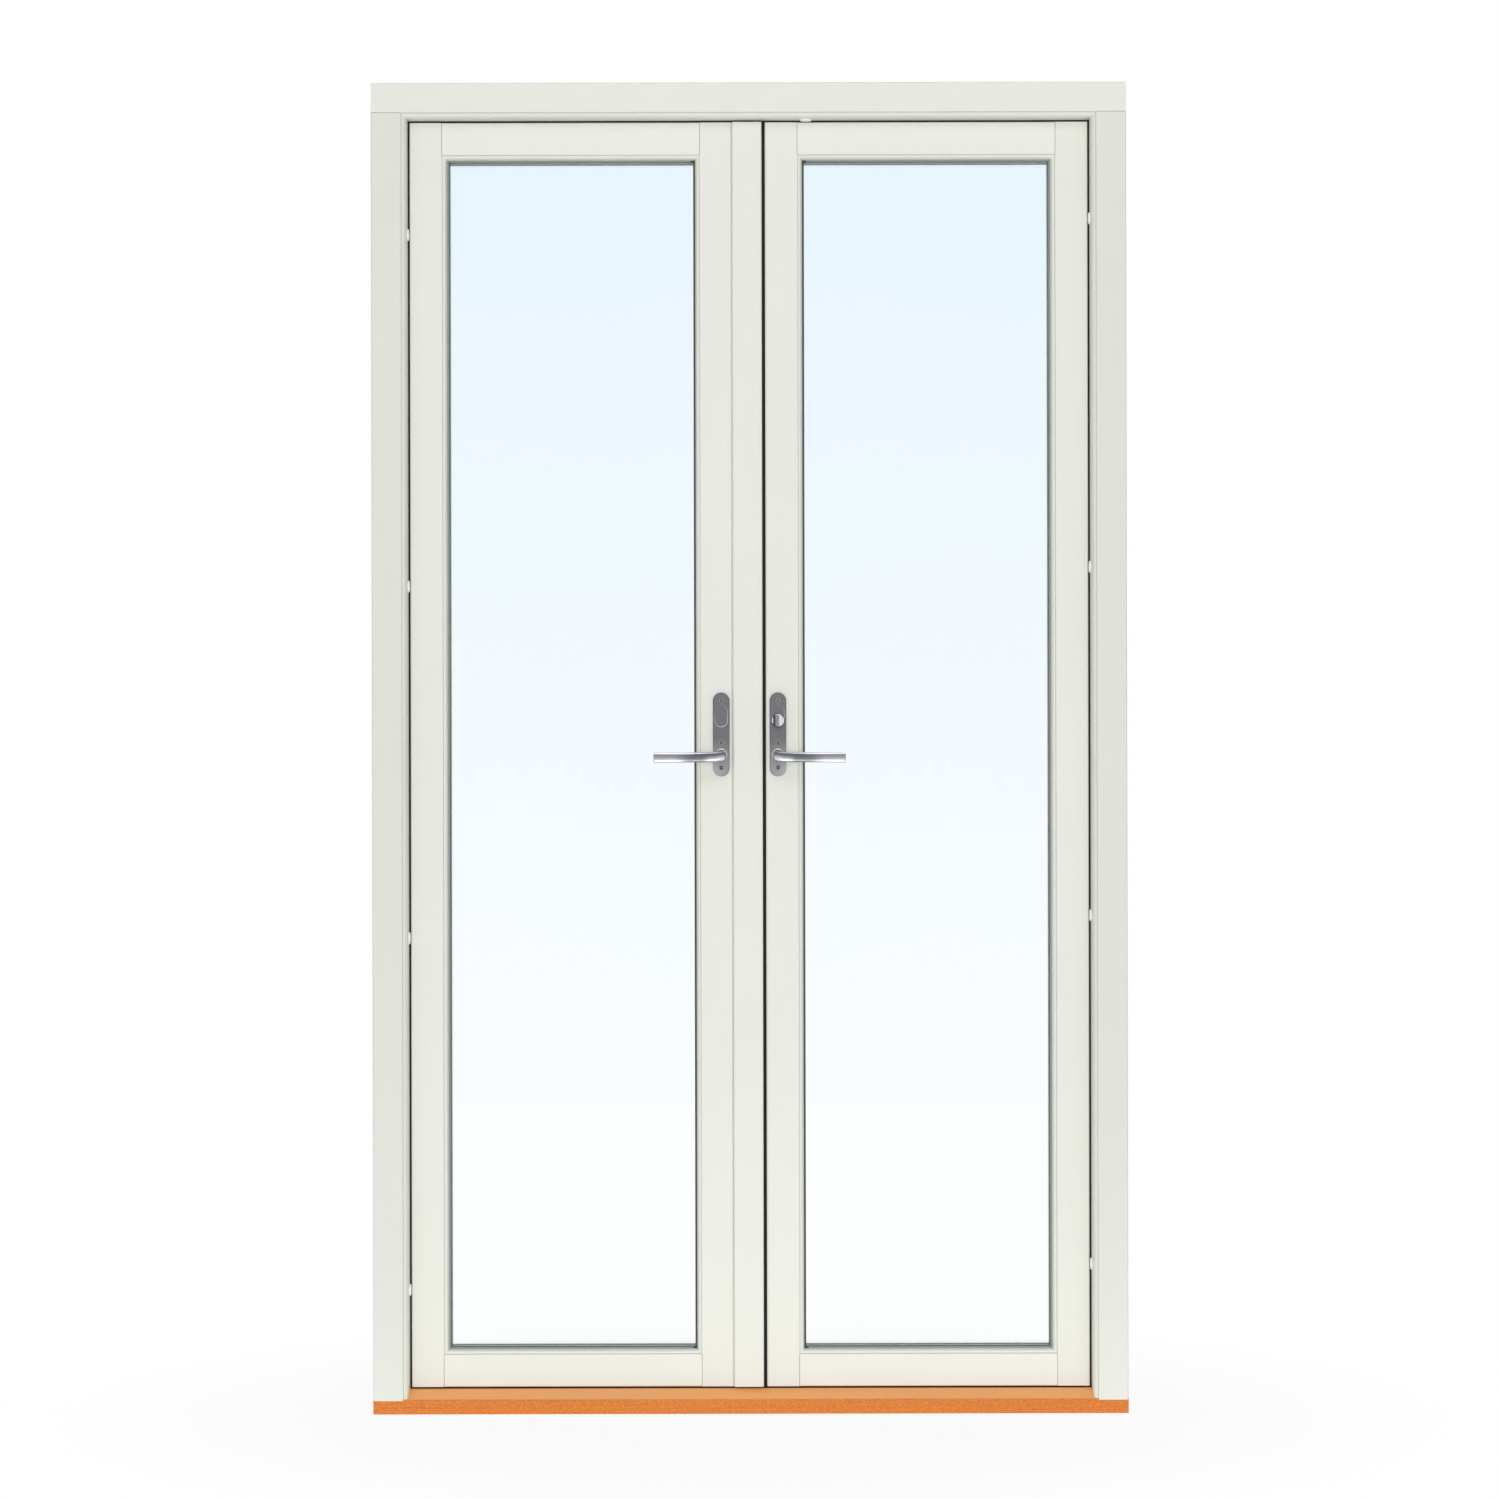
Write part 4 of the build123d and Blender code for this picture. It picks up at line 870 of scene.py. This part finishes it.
floor_near = node(
    floor_tree,
    "ShaderNodeMapRange",
    smooth,
    {"Value": floor_far, "From Min": 1.5, "From Max": 0.7, "To Max": floor_bounce},
).outputs[0]
floor_lit = node(floor_tree, "ShaderNodeBsdfDiffuse", {}, {"Color": linear("#F2F2F0")}).outputs[0]
floor_lift = node(floor_tree, "ShaderNodeEmission", {}, {"Strength": floor_near}).outputs[0]
floor_lift = node(floor_tree, "ShaderNodeAddShader", {}, {0: floor_lit, 1: floor_lift}).outputs[0]
floor_glow = node(
    floor_tree, "ShaderNodeEmission", {}, {"Color": linear("#FFFFFF"), "Strength": 1.0}
).outputs[0]
floor_glow = node(
    floor_tree, "ShaderNodeMixShader", {}, {0: floor_fade, 1: floor_lit, 2: floor_glow}
).outputs[0]
floor_mix = node(
    floor_tree, "ShaderNodeMixShader", {}, {0: floor_seen, 1: floor_lift, 2: floor_glow}
).outputs[0]
floor_tree.links.new(floor_mix, floor_tree.nodes["Material Output"].inputs["Surface"])
floor_corners = [
    (x * floor_half, y * floor_half, floor_level) for x, y in ((-1, -1), (1, -1), (1, 1), (-1, 1))
]
floor_mesh = bpy.data.meshes.new("studio_floor")
floor_mesh.from_pydata(floor_corners, [], [(0, 1, 2, 3)])
floor_mesh.materials.append(floor_white)
floor = bpy.data.objects.new("studio_floor", floor_mesh)
bpy.context.scene.collection.objects.link(floor)

world = bpy.data.worlds.new("studio_world")
bpy.context.scene.world = world
world.use_nodes = True
sky = world.node_tree
fill_level, blue_low, blue_high = 0.4, -0.11, 0.12
sky_path = node(sky, "ShaderNodeLightPath", {}, {}).outputs
sky_seen = node(
    sky,
    "ShaderNodeMath",
    {"operation": "MAXIMUM"},
    {0: sky_path["Is Camera Ray"], 1: sky_path["Is Glossy Ray"]},
).outputs[0]
sky_seen = node(
    sky, "ShaderNodeMath", {"operation": "MAXIMUM"}, {0: sky_seen, 1: sky_path["Is Transmission Ray"]}
).outputs[0]
sky_way = node(sky, "ShaderNodeTexCoord", {}, {}).outputs["Generated"]
sky_up = node(sky, "ShaderNodeSeparateXYZ", {}, {0: sky_way}).outputs["Z"]
sky_blue = node(
    sky, "ShaderNodeMapRange", {}, {"Value": sky_up, "From Min": blue_low, "From Max": blue_high}
).outputs[0]
sky_blue = node(
    sky, "ShaderNodeMath", {"operation": "MULTIPLY"}, {0: sky_blue, 1: sky_path["Is Transmission Ray"]}
).outputs[0]
sky_tone = node(
    sky, "ShaderNodeMix", rgba, {0: sky_blue, 6: linear("#FFFFFF"), 7: linear("#EAF6FE")}
).outputs[2]
sky_level = node(
    sky, "ShaderNodeMix", {"data_type": "FLOAT"}, {0: sky_seen, 2: fill_level, 3: 1.0}
).outputs[0]
sky.links.new(sky_tone, sky.nodes["Background"].inputs["Color"])
sky.links.new(sky_level, sky.nodes["Background"].inputs["Strength"])

for name, place, aim, size, power, mirrored in (
    ("front_softbox", (0.0, -7.8, 1.3), (0, 0, 1.0), 2.2, 184.0, False),
    ("back_softbox", (0.0, 7.8, 1.6), (0, 0, 1.0), 2.2, 190.0, False),
    ("left_softbox", (-2.9, -4.8, 1.0), (0, 0, 1.0), 2.4, 16.0, False),
    ("right_softbox", (2.9, -4.8, 1.0), (0, 0, 1.0), 2.4, 17.0, False),
    ("top_softbox", (0.0, -5.4, 4.4), (0, 0, 1.2), 2.0, 46.0, True),
    ("sky_softbox", (0.0, 0.0, 6.0), (0, 0, 0), 2.6, 26.0, False),
):
    lamp = bpy.data.lights.new(name, "AREA")
    lamp.size = size
    lamp.energy = power
    holder = bpy.data.objects.new(name, lamp)
    holder.visible_camera = False
    holder.visible_glossy = holder.visible_transmission = mirrored
    bpy.context.scene.collection.objects.link(holder)
    holder.location = place
    holder.rotation_euler = (Vector(aim) - Vector(place)).to_track_quat("-Z", "Y").to_euler()

camera_data = bpy.data.cameras.new("camera")
camera_data.sensor_width = 36.0
camera_data.lens = 107.7
camera = bpy.data.objects.new("camera", camera_data)
bpy.context.scene.collection.objects.link(camera)
camera.location = (-0.001, -7.0525, 1.0384)
camera.rotation_euler = (np.pi / 2, np.radians(0.12), 0)
bpy.context.scene.camera = camera
bpy.context.scene.view_settings.view_transform = "Standard"
